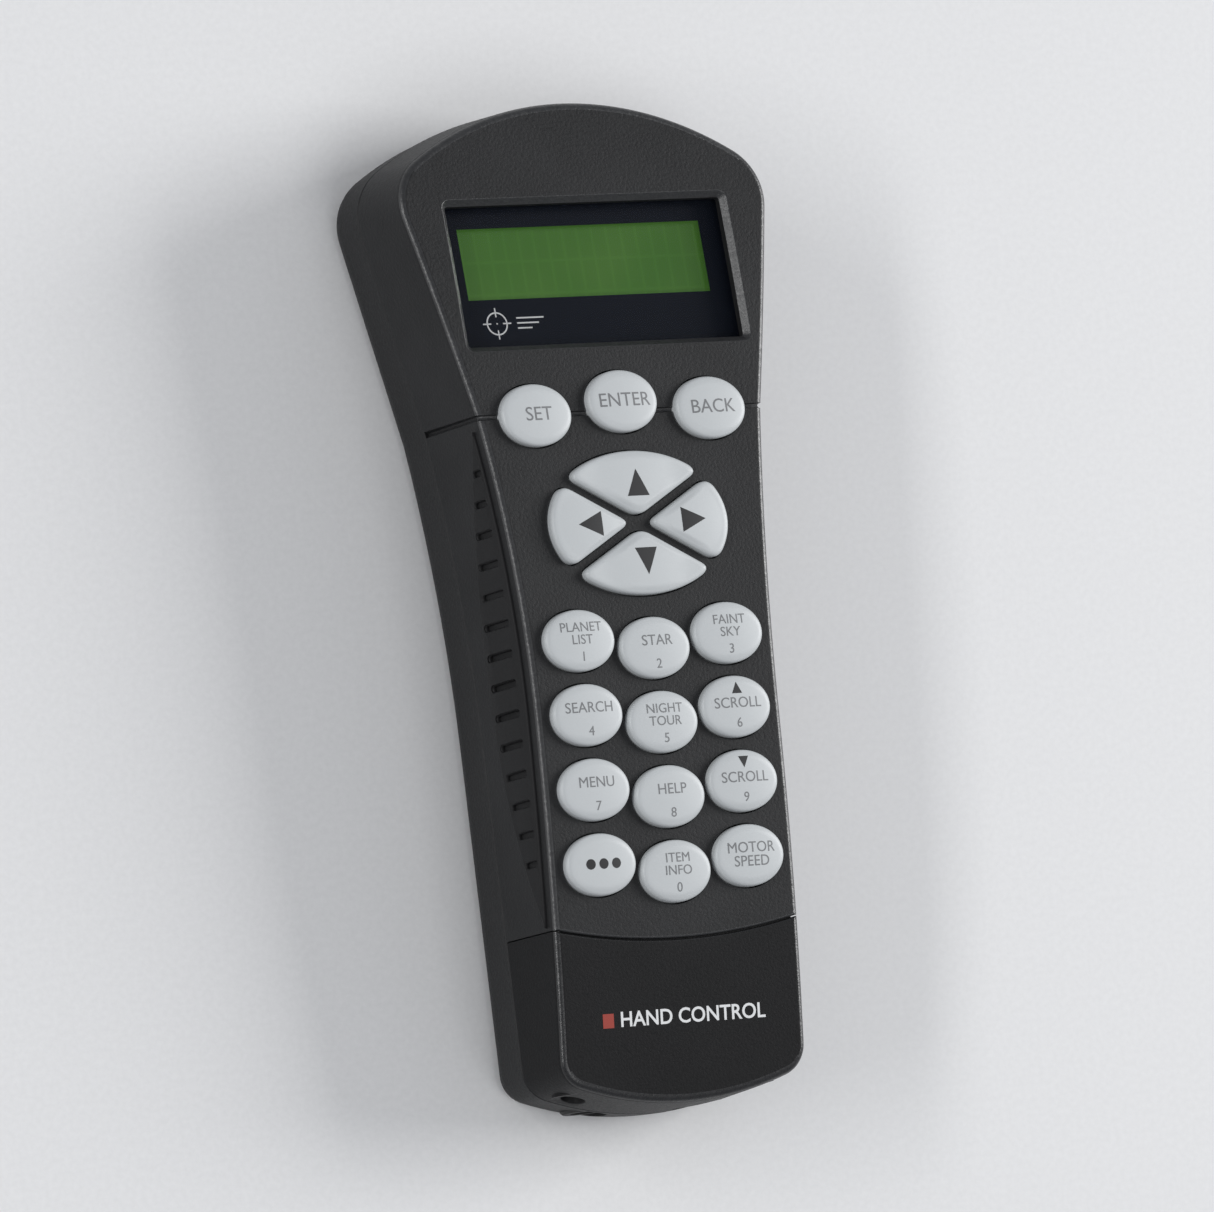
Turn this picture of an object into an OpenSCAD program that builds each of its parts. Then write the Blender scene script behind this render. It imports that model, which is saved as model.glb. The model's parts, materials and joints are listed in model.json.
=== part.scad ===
// Telescope hand controller, lying on its back.
// +X is to the right as the user faces the keys, +Y points to the display end,
// +Z points out of the face. The origin is under the middle of the case, on the
// plane that the back rests on. All sizes are in millimetres.

/* [Case] */
// Length of the case from end to end
case_l = 193; // [191:1:196]
// Width across the straight grip
grip_w = 54; // [54:0.5:56]
// Thickness at the middle of the face
case_h = 33; // [33:0.5:35]
// Radius of the face along its length
crown_r = 600; // [550:10:800]
// Height of the joint between the front and rear shells
parting_z = 12; // [11.5:0.5:12]
// Thickness of the side walls
wall = 2.2; // [2:0.1:2.4]
// Thickness of the face
skin = 2.4; // [2:0.1:2.6]
// Radius of the sides where they flare out towards the head
flare_r = 400; // [380:10:450]
// Sideways slope of the head's sides
head_slope = 0.22; // [0.2:0.01:0.24]
// Radius of the dome at the head end
dome_r = 65; // [62:1:70]
// Radius of the two corners of the head
head_corner_r = 11; // [9:0.5:12]

/* [Keys] */
// Length of an oval key across the case
key_w = 15.3; // [14.8:0.1:15.4]
// Height of an oval key along the case
key_l = 11.8; // [11:0.1:11.9]
// Column spacing of the number keys
col_pitch = 16.35; // [16.3:0.05:16.4]
// Row spacing of the number keys
row_pitch = 14.2; // [14.1:0.05:14.25]
// How far the middle column sits below the other two
mid_drop = 2.1; // [1.8:0.1:2.3]
// How far a key's edge stands out of the face
key_rise = 1.6; // [1.2:0.1:1.8]
// How far a key travels when it is pressed
key_travel = 1.2; // [0.8:0.1:1.2]
// Gap between a key and its hole
key_gap = 0.25; // [0.2:0.05:0.3]
// Width of the four-way pad
pad_w = 39; // [38:0.5:39]
// Height of the four-way pad
pad_l = 27.8; // [27:0.2:28]
// Width of the bars between the four pad keys
pad_web = 2; // [1.8:0.1:2.2]

/* [Display] */
// Width of the display opening
window_w = 60.8; // [60:0.2:61]
// Height of the display opening
window_l = 27.8; // [27:0.2:28]
// Width of the lit area
lit_w = 53.6; // [52:0.2:54]
// Height of the lit area
lit_l = 14.1; // [13.5:0.1:14.5]

/* [Interfaces] */
// Radius of the two sockets for the cradle's pegs
peg_r = 2.3; // [2:0.1:2.5]
// Depth of the peg sockets
peg_depth = 9; // [8:0.5:10]
// Distance between the peg sockets
peg_pitch = 40; // [39:0.5:41]
// Radius of the hole that the cord passes through
cord_r = 2.4; // [2:0.1:2.6]

/* [Hidden] */
// Quality of round bores and posts
$fn = 48;
eps = 0.01;
// Far enough to pass right through the case
through = 60;

half_l = case_l / 2;
half_w = grip_w / 2;
// Where the sides start to flare, and where the groove crosses the face
flare_y = -24.5;
groove_y = 34.8;
// Bottom end: radius of its arc and of its corners
foot_r = 70;
foot_corner_r = 6;
// How much wider the case is at the parting line than at the face
draft = 0.5;

// Seam between the keypad and the end cover
seam_r = 123;
seam_low_y = -65.6;
seam_gap = 0.25;

// Height of the face above the resting plane at a place along the case
function crown(y) = case_h - crown_r + sqrt(crown_r * crown_r - y * y);

// Half width of the straight and flared part of the sides
groove_x = half_w + flare_r - sqrt(pow(flare_r, 2) - pow(groove_y - flare_y, 2));
function side_x(y) =
    y < flare_y ? half_w :
    y < groove_y ? half_w + flare_r - sqrt(pow(flare_r, 2) - pow(y - flare_y, 2)) :
    groove_x + head_slope * (y - groove_y);

// Direction of the side's outward normal, as an angle from straight down
function side_turn(y) =
    y < flare_y ? 90 :
    y < groove_y ? 90 - asin((y - flare_y) / flare_r) :
    90 - atan(head_slope);

// Unit vector at an angle from straight down
function heading(a) = [sin(a), -cos(a)];

// Head: the corner circle touches the sloping side and the dome circle
dome_c = [0, half_l - dome_r];
slope_turn = 90 - atan(head_slope);
slope_dir = [cos(slope_turn), sin(slope_turn)];
corner_start = [groove_x, groove_y] - head_corner_r * heading(slope_turn);
corner_rel = corner_start - dome_c;
corner_along = corner_rel * slope_dir;
corner_run = sqrt(pow(corner_along, 2) - corner_rel * corner_rel
    + pow(dome_r - head_corner_r, 2)) - corner_along;
corner_c = corner_start + corner_run * slope_dir;
dome_turn = 180 - atan2(corner_c[0] - dome_c[0], corner_c[1] - dome_c[1]);
side_end_y = corner_c[1] + head_corner_r * heading(slope_turn)[1];

// Bottom end: a shallow arc with a small corner at each side
foot_c = [0, foot_r - half_l];
foot_corner_x = half_w - foot_corner_r;
foot_turn = asin(foot_corner_x / (foot_r - foot_corner_r));
foot_corner_c = foot_c + (foot_r - foot_corner_r) * heading(foot_turn);

// Stations up the right side: x, y and the direction of the outward normal
function arc_points(c, r, from, to, n, first = 0) =
    [for (i = [first:n]) let (a = from + (to - from) * i / n)
        [c[0] + r * sin(a), c[1] - r * cos(a), a]];
function side_points(from, to, n) =
    [for (i = [1:n - 1]) let (y = from + (to - from) * i / n)
        [side_x(y), y, side_turn(y)]];
right_side = concat(
    arc_points(foot_c, foot_r, 0, foot_turn, 5),
    arc_points(foot_corner_c, foot_corner_r, foot_turn, 90, 5, 1),
    side_points(foot_corner_c[1], flare_y, 5),
    side_points(flare_y - eps, groove_y, 7),
    [[groove_x, groove_y, side_turn(groove_y - eps)]],
    side_points(groove_y, side_end_y, 4),
    arc_points(corner_c, head_corner_r, slope_turn, dome_turn, 7),
    arc_points(dome_c, dome_r, dome_turn, 180, 6, 1)
);
last = len(right_side) - 1;
ring_n = 2 * last;

// One closed ring of the case: the outline moved in by inset, at a fixed height
// or, when it follows the face, at a depth below it
function ring_point(i, inset) =
    let (j = i <= last ? i : ring_n - i, s = i <= last ? 1 : -1, p = right_side[j])
    [s * (p[0] - inset * sin(p[2])), p[1] + inset * cos(p[2])];
function ring(inset, level, follows) =
    [for (i = [0:ring_n - 1]) let (p = ring_point(i, inset), x = i == 0 || i == last ? 0 : p[0])
        [x, p[1], follows ? crown(p[1]) - level : level]];

// Solid through a stack of rings, closed below and above by strips across the case
module case_loft(rings) {
    top = (len(rings) - 1) * ring_n;
    walls = [for (k = [0:len(rings) - 2], i = [0:ring_n - 1])
        let (j = (i + 1) % ring_n, a = k * ring_n, b = a + ring_n)
        [a + i, b + i, b + j, a + j]];
    strips = [for (i = [1:last - 2]) [i, i + 1, ring_n - i - 1, ring_n - i]];
    floor_faces = concat([[0, 1, ring_n - 1]], strips, [[last - 1, last, last + 1]]);
    lid_faces = [for (f = floor_faces) [for (k = [len(f) - 1:-1:0]) top + f[k]]];
    polyhedron([for (r = rings) each r], concat(walls, floor_faces, lid_faces), convexity = 6);
}

// ---- Heights of the stack inside the case -------------------------------
board_top = 17;
board_t = 1.6;
board_low = board_top - board_t;
contact_t = 0.15;
mat_t = 0.8;
mat_collar_top = 24;

// Display stack, measured down from the face in the display's own tilted frame
display_y = 63.05;
lit_y = 3.2;
tape_t = 0.2;
lens_t = 1.5;
mask_t = 0.15;
lens_rim = 1.2;
lens_w = window_w + 2 * lens_rim;
lens_l = window_l + 2 * lens_rim;
// Space over the tape, where the tilted lens meets the curved inside of the face
lens_set = 0.2;
lens_top = -skin - lens_set - tape_t;
mask_top = lens_top - lens_t;
bezel_top = mask_top - mask_t - 0.25;
bezel_t = 3.2;
bezel_w = 58.6;
bezel_l = 21;
glass_t = 1.8;
lcd_board_top = bezel_top - bezel_t;
lcd_board_t = 1.2;
lcd_board_w = 59.2;
lcd_board_l = 29;
bezel_y = lit_y - 1;
bezel_wall = 0.6;
// Inside of the bezel's frame, which the glass and the backlight fill
cell_w = bezel_w - 2 * bezel_wall - 0.4;
cell_l = bezel_l - 2 * bezel_wall - 0.4;

// ---- Screws and posts ---------------------------------------------------
case_screw_at = [for (s = [-1, 1]) each [[s * 33, 72], [s * 21, -1.6], [s * 20, -59.8]]];
cover_screw_at = [for (s = [-1, 1]) [s * 19, -75]];
board_screw_at = [for (s = [-1, 1]) each [[s * 24, 44.6], [s * 23.2, 14], [s * 9, -61.3]]];
boss_r = 2.9;
boss_top = 24;
pilot_r = 1.2;
shank_r = 1.15;
head_r = 2.4;
head_t = 1.7;
sink_r = 2.75;
sink_depth = 3.2;
pilot_top = 21;
board_post_r = 2;
board_pilot_top = 24;
rib_t = 1.6;
// How far a rib runs into the side wall
rib_bite = 0.5;

// ---- Key layout ---------------------------------------------------------
row_one_y = -8.4;
top_row_y = 35.2;
top_row_pitch = 19.25;
top_mid_rise = 2;
pad_y = 13.6;
pad_angle = 29.7;
// Level that the key holes are cut down to, below the face and above the board
key_hole_low = 21;

// Centre of a number key, counting columns from the left and rows from the top
function key_at(col, row) =
    [(col - 1) * col_pitch, row_one_y - row * row_pitch - (col == 1 ? mid_drop : 0)];
function top_key_at(col) =
    [(col - 1) * top_row_pitch, top_row_y + (col == 1 ? top_mid_rise : 0)];
oval_centres = concat(
    [for (col = [0:2]) top_key_at(col)],
    [for (row = [0:3], col = [0:2]) key_at(col, row)]);
top_key_l = 12.1;

function oval(a, b, n = 24) = [for (i = [0:n - 1]) [a * cos(360 * i / n), b * sin(360 * i / n)]];
function bend(a, b, c, n) =
    [for (i = [0:n]) let (t = i / n) pow(1 - t, 2) * a + 2 * t * (1 - t) * b + t * t * c];
function backwards(pts) = [for (i = [len(pts) - 1:-1:0]) pts[i]];
function flip(pts, sx, sy) =
    let (q = [for (p = pts) [sx * p[0], sy * p[1]]]) sx * sy > 0 ? q : backwards(q);

// A pad key is a slice of the pad's oval between two diagonal bars, with its
// corners rounded. along is the bar's direction and inward points into the slice.
pad_a = pad_w / 2;
pad_b = pad_l / 2;
function pad_oval(a) = [pad_a * cos(a), pad_b * sin(a)];
function bar_end(along, inward) =
    let (o = pad_web / 2 * inward,
        qa = pow(along[0] / pad_a, 2) + pow(along[1] / pad_b, 2),
        qb = o[0] * along[0] / pow(pad_a, 2) + o[1] * along[1] / pow(pad_b, 2),
        qc = pow(o[0] / pad_a, 2) + pow(o[1] / pad_b, 2) - 1)
    o + (sqrt(qb * qb - qa * qc) - qb) / qa * along;
bar_dir = [cos(pad_angle), sin(pad_angle)];
up_end = bar_end(bar_dir, [-bar_dir[1], bar_dir[0]]);
right_end = bar_end(bar_dir, [bar_dir[1], -bar_dir[0]]);
up_tip = [0, pad_web / 2 / bar_dir[0]];
right_tip = [pad_web / 2 / bar_dir[1], 0];
pad_soft = 2.2;
pad_arc_start = 8;
up_a = atan2(up_end[1] / pad_b, up_end[0] / pad_a) + pad_arc_start;
right_a = atan2(right_end[1] / pad_b, right_end[0] / pad_a) - pad_arc_start;

// Half of a slice, from its tip along one bar and round to the middle of its arc
function slice_half(tip, end, arc_a, mid_a) =
    let (cut = tip + pad_soft * bar_dir, nose = (tip + cut) / 2,
        on_axis = tip[0] == 0 ? [0, nose[1]] : [nose[0], 0])
    concat(
        [bend(on_axis, nose, cut, 2)[1], cut],
        bend(end - pad_soft * bar_dir, end, pad_oval(arc_a), 3),
        [for (i = [1:3]) pad_oval(arc_a + (mid_a - arc_a) * i / 3.5)]);
up_half = slice_half(up_tip, up_end, up_a, 90);
right_half = slice_half(right_tip, right_end, right_a, 0);
up_slice = concat(up_half, flip(up_half, -1, 1));
right_slice = concat(backwards(flip(right_half, 1, -1)), backwards(right_half));

// Pad keys: outline and the middle of each, measured from the pad's centre
pad_up_c = [0, 7.6];
pad_right_c = [11.4, 0];
pad_slices = [up_slice, flip(up_slice, 1, -1), flip(right_slice, -1, 1), right_slice];
pad_centres = [pad_up_c, -pad_up_c, -pad_right_c, pad_right_c];

// ---- Building blocks ----------------------------------------------------
// Places things in the display's frame, whose XY plane touches the face
module in_display() {
    translate([0, display_y, crown(display_y)])
        rotate([-asin(display_y / crown_r), 0, 0]) children();
}

// A plate in the display's frame, centred, with its top at a given depth
module plate(w, l, t, top, shift = 0) {
    translate([-w / 2, shift - l / 2, top - t]) cube([w, l, t]);
}

module case_outer() {
    case_loft([ring(-draft, parting_z, false), ring(0, 1.1, true),
        ring(0.35, 0.3, true), ring(1.1, 0, true)]);
}

module case_hollow() {
    case_loft([ring(wall - draft, parting_z - 1, false), ring(wall, skin + 1, true),
        ring(wall + 1, skin, true)]);
}

module holes(at, r, from, to) {
    for (p = at) translate([p[0], p[1], from]) cylinder(r = r, h = to - from);
}

// Lens-shaped area of each side that the finger grip fills
lens_y = -14.5;
lens_half = 47.5;
lens_sag = 12.5;
lens_shelf = 2.6;
lens_r = (lens_half * lens_half + lens_sag * lens_sag) / (2 * lens_sag);
function lens_depth(y) = sqrt(pow(lens_r, 2) - pow(y - lens_y, 2)) - lens_r + lens_sag;
module lens_prism(side) {
    steps = 16;
    ys = [for (i = [0:steps]) lens_y - lens_half + 2 * lens_half * i / steps];
    outline = concat(
        [for (y = ys) [y, crown(y) - lens_shelf]],
        [for (i = [steps - 1:-1:1]) [ys[i], crown(ys[i]) - lens_shelf - lens_depth(ys[i])]]);
    translate([side > 0 ? 15 : -45, 0, 0]) rotate([90, 0, 90]) linear_extrude(30) polygon(outline);
}
grip_set_in = 1.2;
grip_proud = 0.6;
slot_n = 14;
slot_pitch = 5.75;
slot_first_y = 25.2;
slot_w = 1.1;

// Case volume made thinner or fatter all round, for the grips and their seats
module case_band(inset) {
    case_loft([ring(inset - draft, parting_z - 1, false), ring(inset, 1, true)]);
}

// ---- Case parts ---------------------------------------------------------
module front_shell() {
    color("dimgray") difference() {
        union() {
            difference() {
                intersection() {
                    case_outer();
                    translate([0, seam_low_y + seam_r, 0]) cylinder(r = seam_r, h = through, $fn = 360);
                }
                case_hollow();
            }
            holes(case_screw_at, boss_r, parting_z, boss_top);
            for (p = case_screw_at) boss_rib(p);
            board_posts();
        }
        holes(case_screw_at, pilot_r, parting_z - 1, pilot_top);
        holes(board_screw_at, pilot_r, board_top - 1, board_pilot_top);
        key_openings();
        in_display() plate(window_w, window_l, through, through / 2);
        in_display() plate(lens_w + 0.4, lens_l + 0.4, 20, -skin - lens_set);
        for (side = [-1, 1]) grip_seat(side);
        face_groove();
    }
}

// Rib that ties a screw boss to the nearest side wall
module boss_rib(p) {
    s = sign(p[0]);
    reach = side_x(p[1]) - wall + rib_bite - abs(p[0]);
    translate([s > 0 ? p[0] : p[0] - reach, p[1] - rib_t / 2, parting_z])
        cube([reach, rib_t, boss_top - parting_z]);
}

// Posts that hang from the face and carry the main board
module board_posts() {
    for (p = board_screw_at)
        translate([p[0], p[1], board_top])
            cylinder(r = board_post_r, h = crown(abs(p[1]) + 2) - skin / 2 - board_top);
}

module key_openings() {
    for (i = [0:len(oval_centres) - 1])
        translate([oval_centres[i][0], oval_centres[i][1], key_hole_low])
            linear_extrude(through)
                polygon(oval(key_w / 2 + key_gap, (i < 3 ? top_key_l : key_l) / 2 + key_gap));
    for (i = [0:3])
        translate([0, pad_y, key_hole_low])
            linear_extrude(through) offset(delta = key_gap) polygon(pad_slices[i]);
}

module grip_seat(side) {
    difference() {
        lens_prism(side);
        case_band(grip_set_in);
    }
}

// Shallow groove that runs across the face and down both sides
module face_groove() {
    groove_w = 1;
    groove_d = 0.6;
    translate([-through, groove_y, crown(groove_y) - groove_d]) cube([2 * through, groove_w, through]);
    for (s = [-1, 1])
        translate([s > 0 ? groove_x - 0.3 : -groove_x + 0.3 - through, groove_y, 0])
            cube([through, groove_w, through]);
}

module end_cover() {
    color([0.16, 0.16, 0.17]) difference() {
        union() {
            difference() {
                case_outer();
                case_hollow();
                translate([0, seam_low_y + seam_r, 0])
                    cylinder(r = seam_r + seam_gap, h = through, $fn = 360);
            }
            holes(cover_screw_at, boss_r, parting_z, boss_top);
            for (p = cover_screw_at) boss_rib(p);
            for (s = [-1, 1]) peg_boss(s);
        }
        holes(cover_screw_at, pilot_r, parting_z - 1, pilot_top);
        jack_mouth();
        for (s = [-1, 1])
            translate([s * peg_pitch / 2, peg_mouth_y + peg_depth, peg_z])
                rotate([90, 0, 0]) cylinder(r = peg_r, h = peg_depth + 10);
    }
}

// Sockets for the pegs: a blind tube behind each mouth
peg_z = 17;
peg_mouth_y = foot_c[1] - sqrt(pow(foot_r, 2) - pow(peg_pitch / 2, 2)) - 0.4;
peg_boss_r = 4;
module peg_boss(s) {
    translate([s * peg_pitch / 2, peg_mouth_y + peg_depth + 1.5, peg_z])
        rotate([90, 0, 0]) cylinder(r = peg_boss_r, h = peg_depth + 0.2);
}

// Bottom end: the cord's gland in the rear shell, and the data jack, which hangs
// under the main board and shows in a mouth shared by the rear shell and the cover
gland_x = -12;
gland_z = 6.4;
gland_neck_r = 3.5;
gland_flange_r = 4.4;
gland_flange_t = 0.9;
gland_bevel = 0.5;
gland_l = 6;
gland_clear = 0.1;
// How far the gland's outer flange is let into the end wall, measured on the gland's axis
gland_sink = 0.9;
gland_front_y = foot_c[1] - sqrt(pow(foot_r, 2) - pow(gland_x, 2)) + gland_sink - gland_flange_t;
gland_back = gland_l - 1.2;

module on_gland_axis() {
    translate([gland_x, gland_front_y, gland_z]) rotate([-90, 0, 0]) children();
}

// Stepped hole that the gland sits in: open outwards, with a flat seat for each flange
module gland_seat() {
    wide = gland_flange_r + gland_clear;
    narrow = gland_neck_r + gland_clear;
    on_gland_axis() {
        translate([0, 0, -10]) cylinder(r = wide, h = 10 + gland_flange_t);
        cylinder(r = narrow, h = gland_back + 1);
        translate([0, 0, gland_back - gland_clear]) cylinder(r = wide, h = gland_l - gland_back + 1);
    }
}
jack_x = 9;
jack_w = 11.6;
jack_h = 8.8;
jack_l = 14;
jack_low = board_low - jack_h;
jack_front_y = -94.6;

module jack_mouth() {
    gap = 0.1;
    translate([jack_x - jack_w / 2 - gap, -half_l - 5, jack_low - gap])
        cube([jack_w + 2 * gap, 12, jack_h + 2 * gap]);
}

// Hanger slot: a round entry, a narrow neck above it and a pocket behind both
hanger_y = 44;
hanger_entry_r = 5.6;
hanger_neck_w = 5.8;
hanger_run = 15;
hanger_pocket_h = 5.2;
hanger_wall = 1.4;

module rear_shell() {
    color("dimgray") difference() {
        union() {
            difference() {
                rear_outer();
                case_loft([ring(4.6, wall, false), ring(wall + 0.3, 4.4, false),
                    ring(wall - draft, parting_z + 1, false)]);
            }
            holes(concat(case_screw_at, cover_screw_at), sink_r + 1, wall - 1, parting_z);
            hanger_block(hanger_wall);
        }
        holes(concat(case_screw_at, cover_screw_at), sink_r, -1, sink_depth);
        holes(concat(case_screw_at, cover_screw_at), shank_r + 0.2, -1, through);
        hanger_block(0);
        translate([0, hanger_y, -1]) cylinder(r = hanger_entry_r, h = wall + 2);
        translate([-hanger_neck_w / 2, hanger_y, -1]) cube([hanger_neck_w, hanger_run, wall + 2]);
        gland_seat();
        jack_mouth();
        label_space(label_recess, 0.2);
    }
}

module rear_outer() {
    case_loft([ring(3, 0, false), ring(1.5, 0.5, false), ring(0.6, 1.6, false),
        ring(0, 4, false), ring(-draft, parting_z, false)]);
}

// The hanger's pocket, or with a margin the block that walls it in
module hanger_block(margin) {
    w = 2 * hanger_entry_r + 1;
    translate([-w / 2 - margin, hanger_y - hanger_entry_r - 0.5 - margin, wall - (margin > 0 ? eps : 0)])
        cube([w + 2 * margin, hanger_run + 2 * hanger_entry_r - 2 + 2 * margin,
            hanger_pocket_h + margin]);
}

// Blank rear label and the recess that it lies in
label_recess = 0.3;
label_t = 0.22;
label_w = 34;
label_l = 52;
label_y = -24;
module label_space(depth, grow) {
    translate([-label_w / 2 - grow, label_y - label_l / 2 - grow, depth > label_t ? -1 : 0])
        cube([label_w + 2 * grow, label_l + 2 * grow, depth + (depth > label_t ? 1 : 0)]);
}
module rear_label() {
    color("silver") translate([0, 0, label_recess - label_t])
        translate([-label_w / 2, label_y - label_l / 2, 0]) cube([label_w, label_l, label_t]);
}

// Ribbed finger grip that fills the lens-shaped seat in one side
module side_grip(side) {
    color([0.1, 0.1, 0.1]) difference() {
        intersection() {
            lens_prism(side);
            case_band(-grip_proud);
        }
        case_band(grip_set_in);
        for (i = [0:slot_n - 1]) let (y = slot_first_y - i * slot_pitch, x = side_x(y) - 0.1,
            low = crown(y) - lens_shelf - lens_depth(y), high = crown(y) - lens_shelf)
            translate([side > 0 ? x : -x - through, y - slot_w / 2, low + (high - low) * 0.14])
                cube([through, slot_w, (high - low) * 0.72]);
    }
}
module grip_left() { side_grip(-1); }
module grip_right() { side_grip(1); }

// ---- Display ------------------------------------------------------------
module display_window() {
    color([0.3, 0.34, 0.38, 0.5])
        in_display() plate(lens_w, lens_l, lens_t, lens_top);
}

// A flat frame in the display's frame
module plate_frame(w, l, t, top, hole_w, hole_l, hole_shift) {
    difference() {
        plate(w, l, t, top);
        plate(hole_w, hole_l, t + 2, top + 1, hole_shift);
    }
}
module window_tape() {
    color("black") in_display()
        plate_frame(lens_w, lens_l, tape_t, lens_top + tape_t, window_w + 0.2, window_l + 0.2, 0);
}
module window_mask() {
    color([0.07, 0.08, 0.1]) in_display()
        plate_frame(lens_w, lens_l, mask_t, mask_top, lit_w, lit_l, lit_y);
}

module lcd_bezel() {
    color("black") in_display() difference() {
        plate(bezel_w, bezel_l, bezel_t, bezel_top, bezel_y);
        plate(bezel_w - 2 * bezel_wall, bezel_l - 2 * bezel_wall, bezel_t, bezel_top - bezel_wall, bezel_y);
        plate(lit_w + 1.2, lit_l + 1.2, bezel_t, bezel_top + 1, lit_y);
    }
}
module lcd_glass() {
    color([0.45, 0.65, 0.3]) in_display()
        plate(cell_w, cell_l, glass_t - 0.1, bezel_top - bezel_wall - 0.05, bezel_y);
}
module lcd_backlight() {
    top = bezel_top - bezel_wall - glass_t;
    color("honeydew") in_display()
        plate(cell_w, cell_l, top - lcd_board_top, top, bezel_y);
}
module lcd_board() {
    color("darkgreen") in_display() plate(lcd_board_w, lcd_board_l, lcd_board_t, lcd_board_top);
}

// Row of pins between the display board and the main board
pin_n = 16;
pin_pitch = 2.54;
pin_y = 51.6;
pin_h = 2.7;
module lcd_header() {
    color("black") translate([-pin_n * pin_pitch / 2, pin_y - 1.25, board_top])
        cube([pin_n * pin_pitch, 2.5, 2]);
    color("gold") for (i = [0:pin_n - 1])
        translate([(i - (pin_n - 1) / 2) * pin_pitch - 0.32, pin_y - 0.32, board_top + 2])
            cube([0.64, 0.64, pin_h]);
}

// Spacers that hold the display board at its slope above the main board
spacer_x = 26;
spacer_ys = [53.5, 75];
module lcd_spacers() {
    color("ivory") difference() {
        for (x = [-spacer_x, spacer_x], y = spacer_ys)
            translate([x, y, board_top]) cylinder(r = 2, h = 8);
        in_display() plate(lcd_board_w + 10, lcd_board_l + 10, 20,
            lcd_board_top - lcd_board_t + 20);
    }
}

// ---- Electronics --------------------------------------------------------
module main_board() {
    color("darkgreen") translate([0, 0, board_low]) difference() {
        linear_extrude(board_t) difference() {
            union() {
                translate([-29.4, 42]) square([58.8, 38]);
                translate([-25.3, 8]) square([50.6, 40]);
                translate([-22.4, -66]) square([44.8, 80]);
                translate([-15.4, -90.5]) square([30.8, 28]);
            }
            for (p = case_screw_at) translate(p) circle(r = boss_r + 0.5);
        }
        holes(board_screw_at, shank_r + 0.2, -1, board_t + 1);
    }
}

// Plungers reach down from the keys to the contacts on the board
plunger_r = 2.1;
function plunger_spots() = concat(oval_centres, [for (c = pad_centres) c + [0, pad_y]]);

module key_contacts() {
    color("black") for (p = plunger_spots())
        translate([p[0], p[1], board_top]) cylinder(r = plunger_r + 0.1, h = contact_t, $fn = 24);
}

module keypad_mat() {
    color("lightgray") difference() {
        union() {
            translate([0, 0, board_top]) linear_extrude(mat_t) difference() {
                union() {
                    translate([-23.6, 25]) square([47.2, 16.6]);
                    translate([-20.6, -58.6]) square([41.2, 90]);
                }
                for (p = case_screw_at) translate(p) circle(r = boss_r + 0.3);
            }
            for (p = plunger_spots()) translate([p[0], p[1], board_top])
                cylinder(r1 = plunger_r + 2.2, r2 = plunger_r + 1.2,
                    h = mat_collar_top - board_top, $fn = 24);
        }
        holes(plunger_spots(), plunger_r + 0.4, board_top - 1, mat_collar_top + 1);
    }
}

module processor() { color("black") translate([-7, 8, board_low - 1.6]) cube([14, 14, 1.6]); }
module memory_chip() { color("black") translate([-5, -18, board_low - 1.4]) cube([10, 6, 1.4]); }
module power_regulator() { color("black") translate([8, -50, board_low - 1.7]) cube([6.6, 3.6, 1.7]); }
module crystal() {
    color("silver") translate([0, 0, board_low - 3.4]) linear_extrude(3.4) hull()
        for (x = [11.5, 17.5]) translate([x, 14]) circle(r = 2.2);
}
module capacitors() {
    color("gray") for (p = [[-9, -48], [-9, -36], [14, -24]])
        translate([p[0], p[1], board_low - 6]) cylinder(r = 3, h = 6);
}

// Header where the cord's wires plug on to the board
module cord_header() {
    color("ivory") translate([gland_x - 2, -80, board_low - 5.4]) difference() {
        cube([14, 5.6, 5.4]);
        translate([0.9, 0.9, -1]) cube([12.2, 3.8, 5.2]);
    }
}

// Rubber gland that lines the cord's inlet in the bottom end
module cord_gland() {
    color([0.08, 0.08, 0.08]) on_gland_axis() rotate_extrude() polygon([
        [cord_r, 0], [gland_flange_r - gland_bevel, 0], [gland_flange_r, gland_bevel],
        [gland_flange_r, gland_flange_t], [gland_neck_r, gland_flange_t],
        [gland_neck_r, gland_back], [gland_flange_r, gland_back],
        [gland_flange_r, gland_l], [cord_r, gland_l]]);
}

// Socket for a data lead, open at the bottom end of the case
module data_jack() {
    jaw_w = 7.8;
    jaw_h = 6.2;
    color("black") difference() {
        translate([jack_x - jack_w / 2, jack_front_y, jack_low]) cube([jack_w, jack_l, jack_h]);
        translate([jack_x - jaw_w / 2, jack_front_y - 1, jack_low + 1.2]) cube([jaw_w, jack_l - 1, jaw_h]);
        translate([jack_x - 1.7, jack_front_y - 1, jack_low + 0.5]) cube([3.4, jack_l - 1, 2]);
    }
}

// ---- Fasteners ----------------------------------------------------------
module case_screws() {
    color("silver") for (p = concat(case_screw_at, cover_screw_at)) translate([p[0], p[1], 0]) {
        difference() {
            translate([0, 0, sink_depth - head_t]) cylinder(r = head_r, h = head_t);
            for (a = [0, 90]) rotate(a) translate([-1.6, -0.3, sink_depth - head_t - 1])
                cube([3.2, 0.6, 1.9]);
        }
        translate([0, 0, sink_depth]) cylinder(r = shank_r, h = pilot_top - sink_depth - 1);
    }
}
module board_screws() {
    color("silver") for (p = board_screw_at) translate([p[0], p[1], board_low]) {
        difference() {
            translate([0, 0, -1.4]) cylinder(r = 2.1, h = 1.4);
            for (a = [0, 90]) rotate(a) translate([-1.3, -0.25, -2]) cube([2.6, 0.5, 1.3]);
        }
        cylinder(r = shank_r, h = board_t + 5.6);
    }
}

// ---- Keys ---------------------------------------------------------------
tab_w = 6;
tab_reach = 0.6;
tab_t = 1.2;
tab_clear = 0.2;

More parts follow.
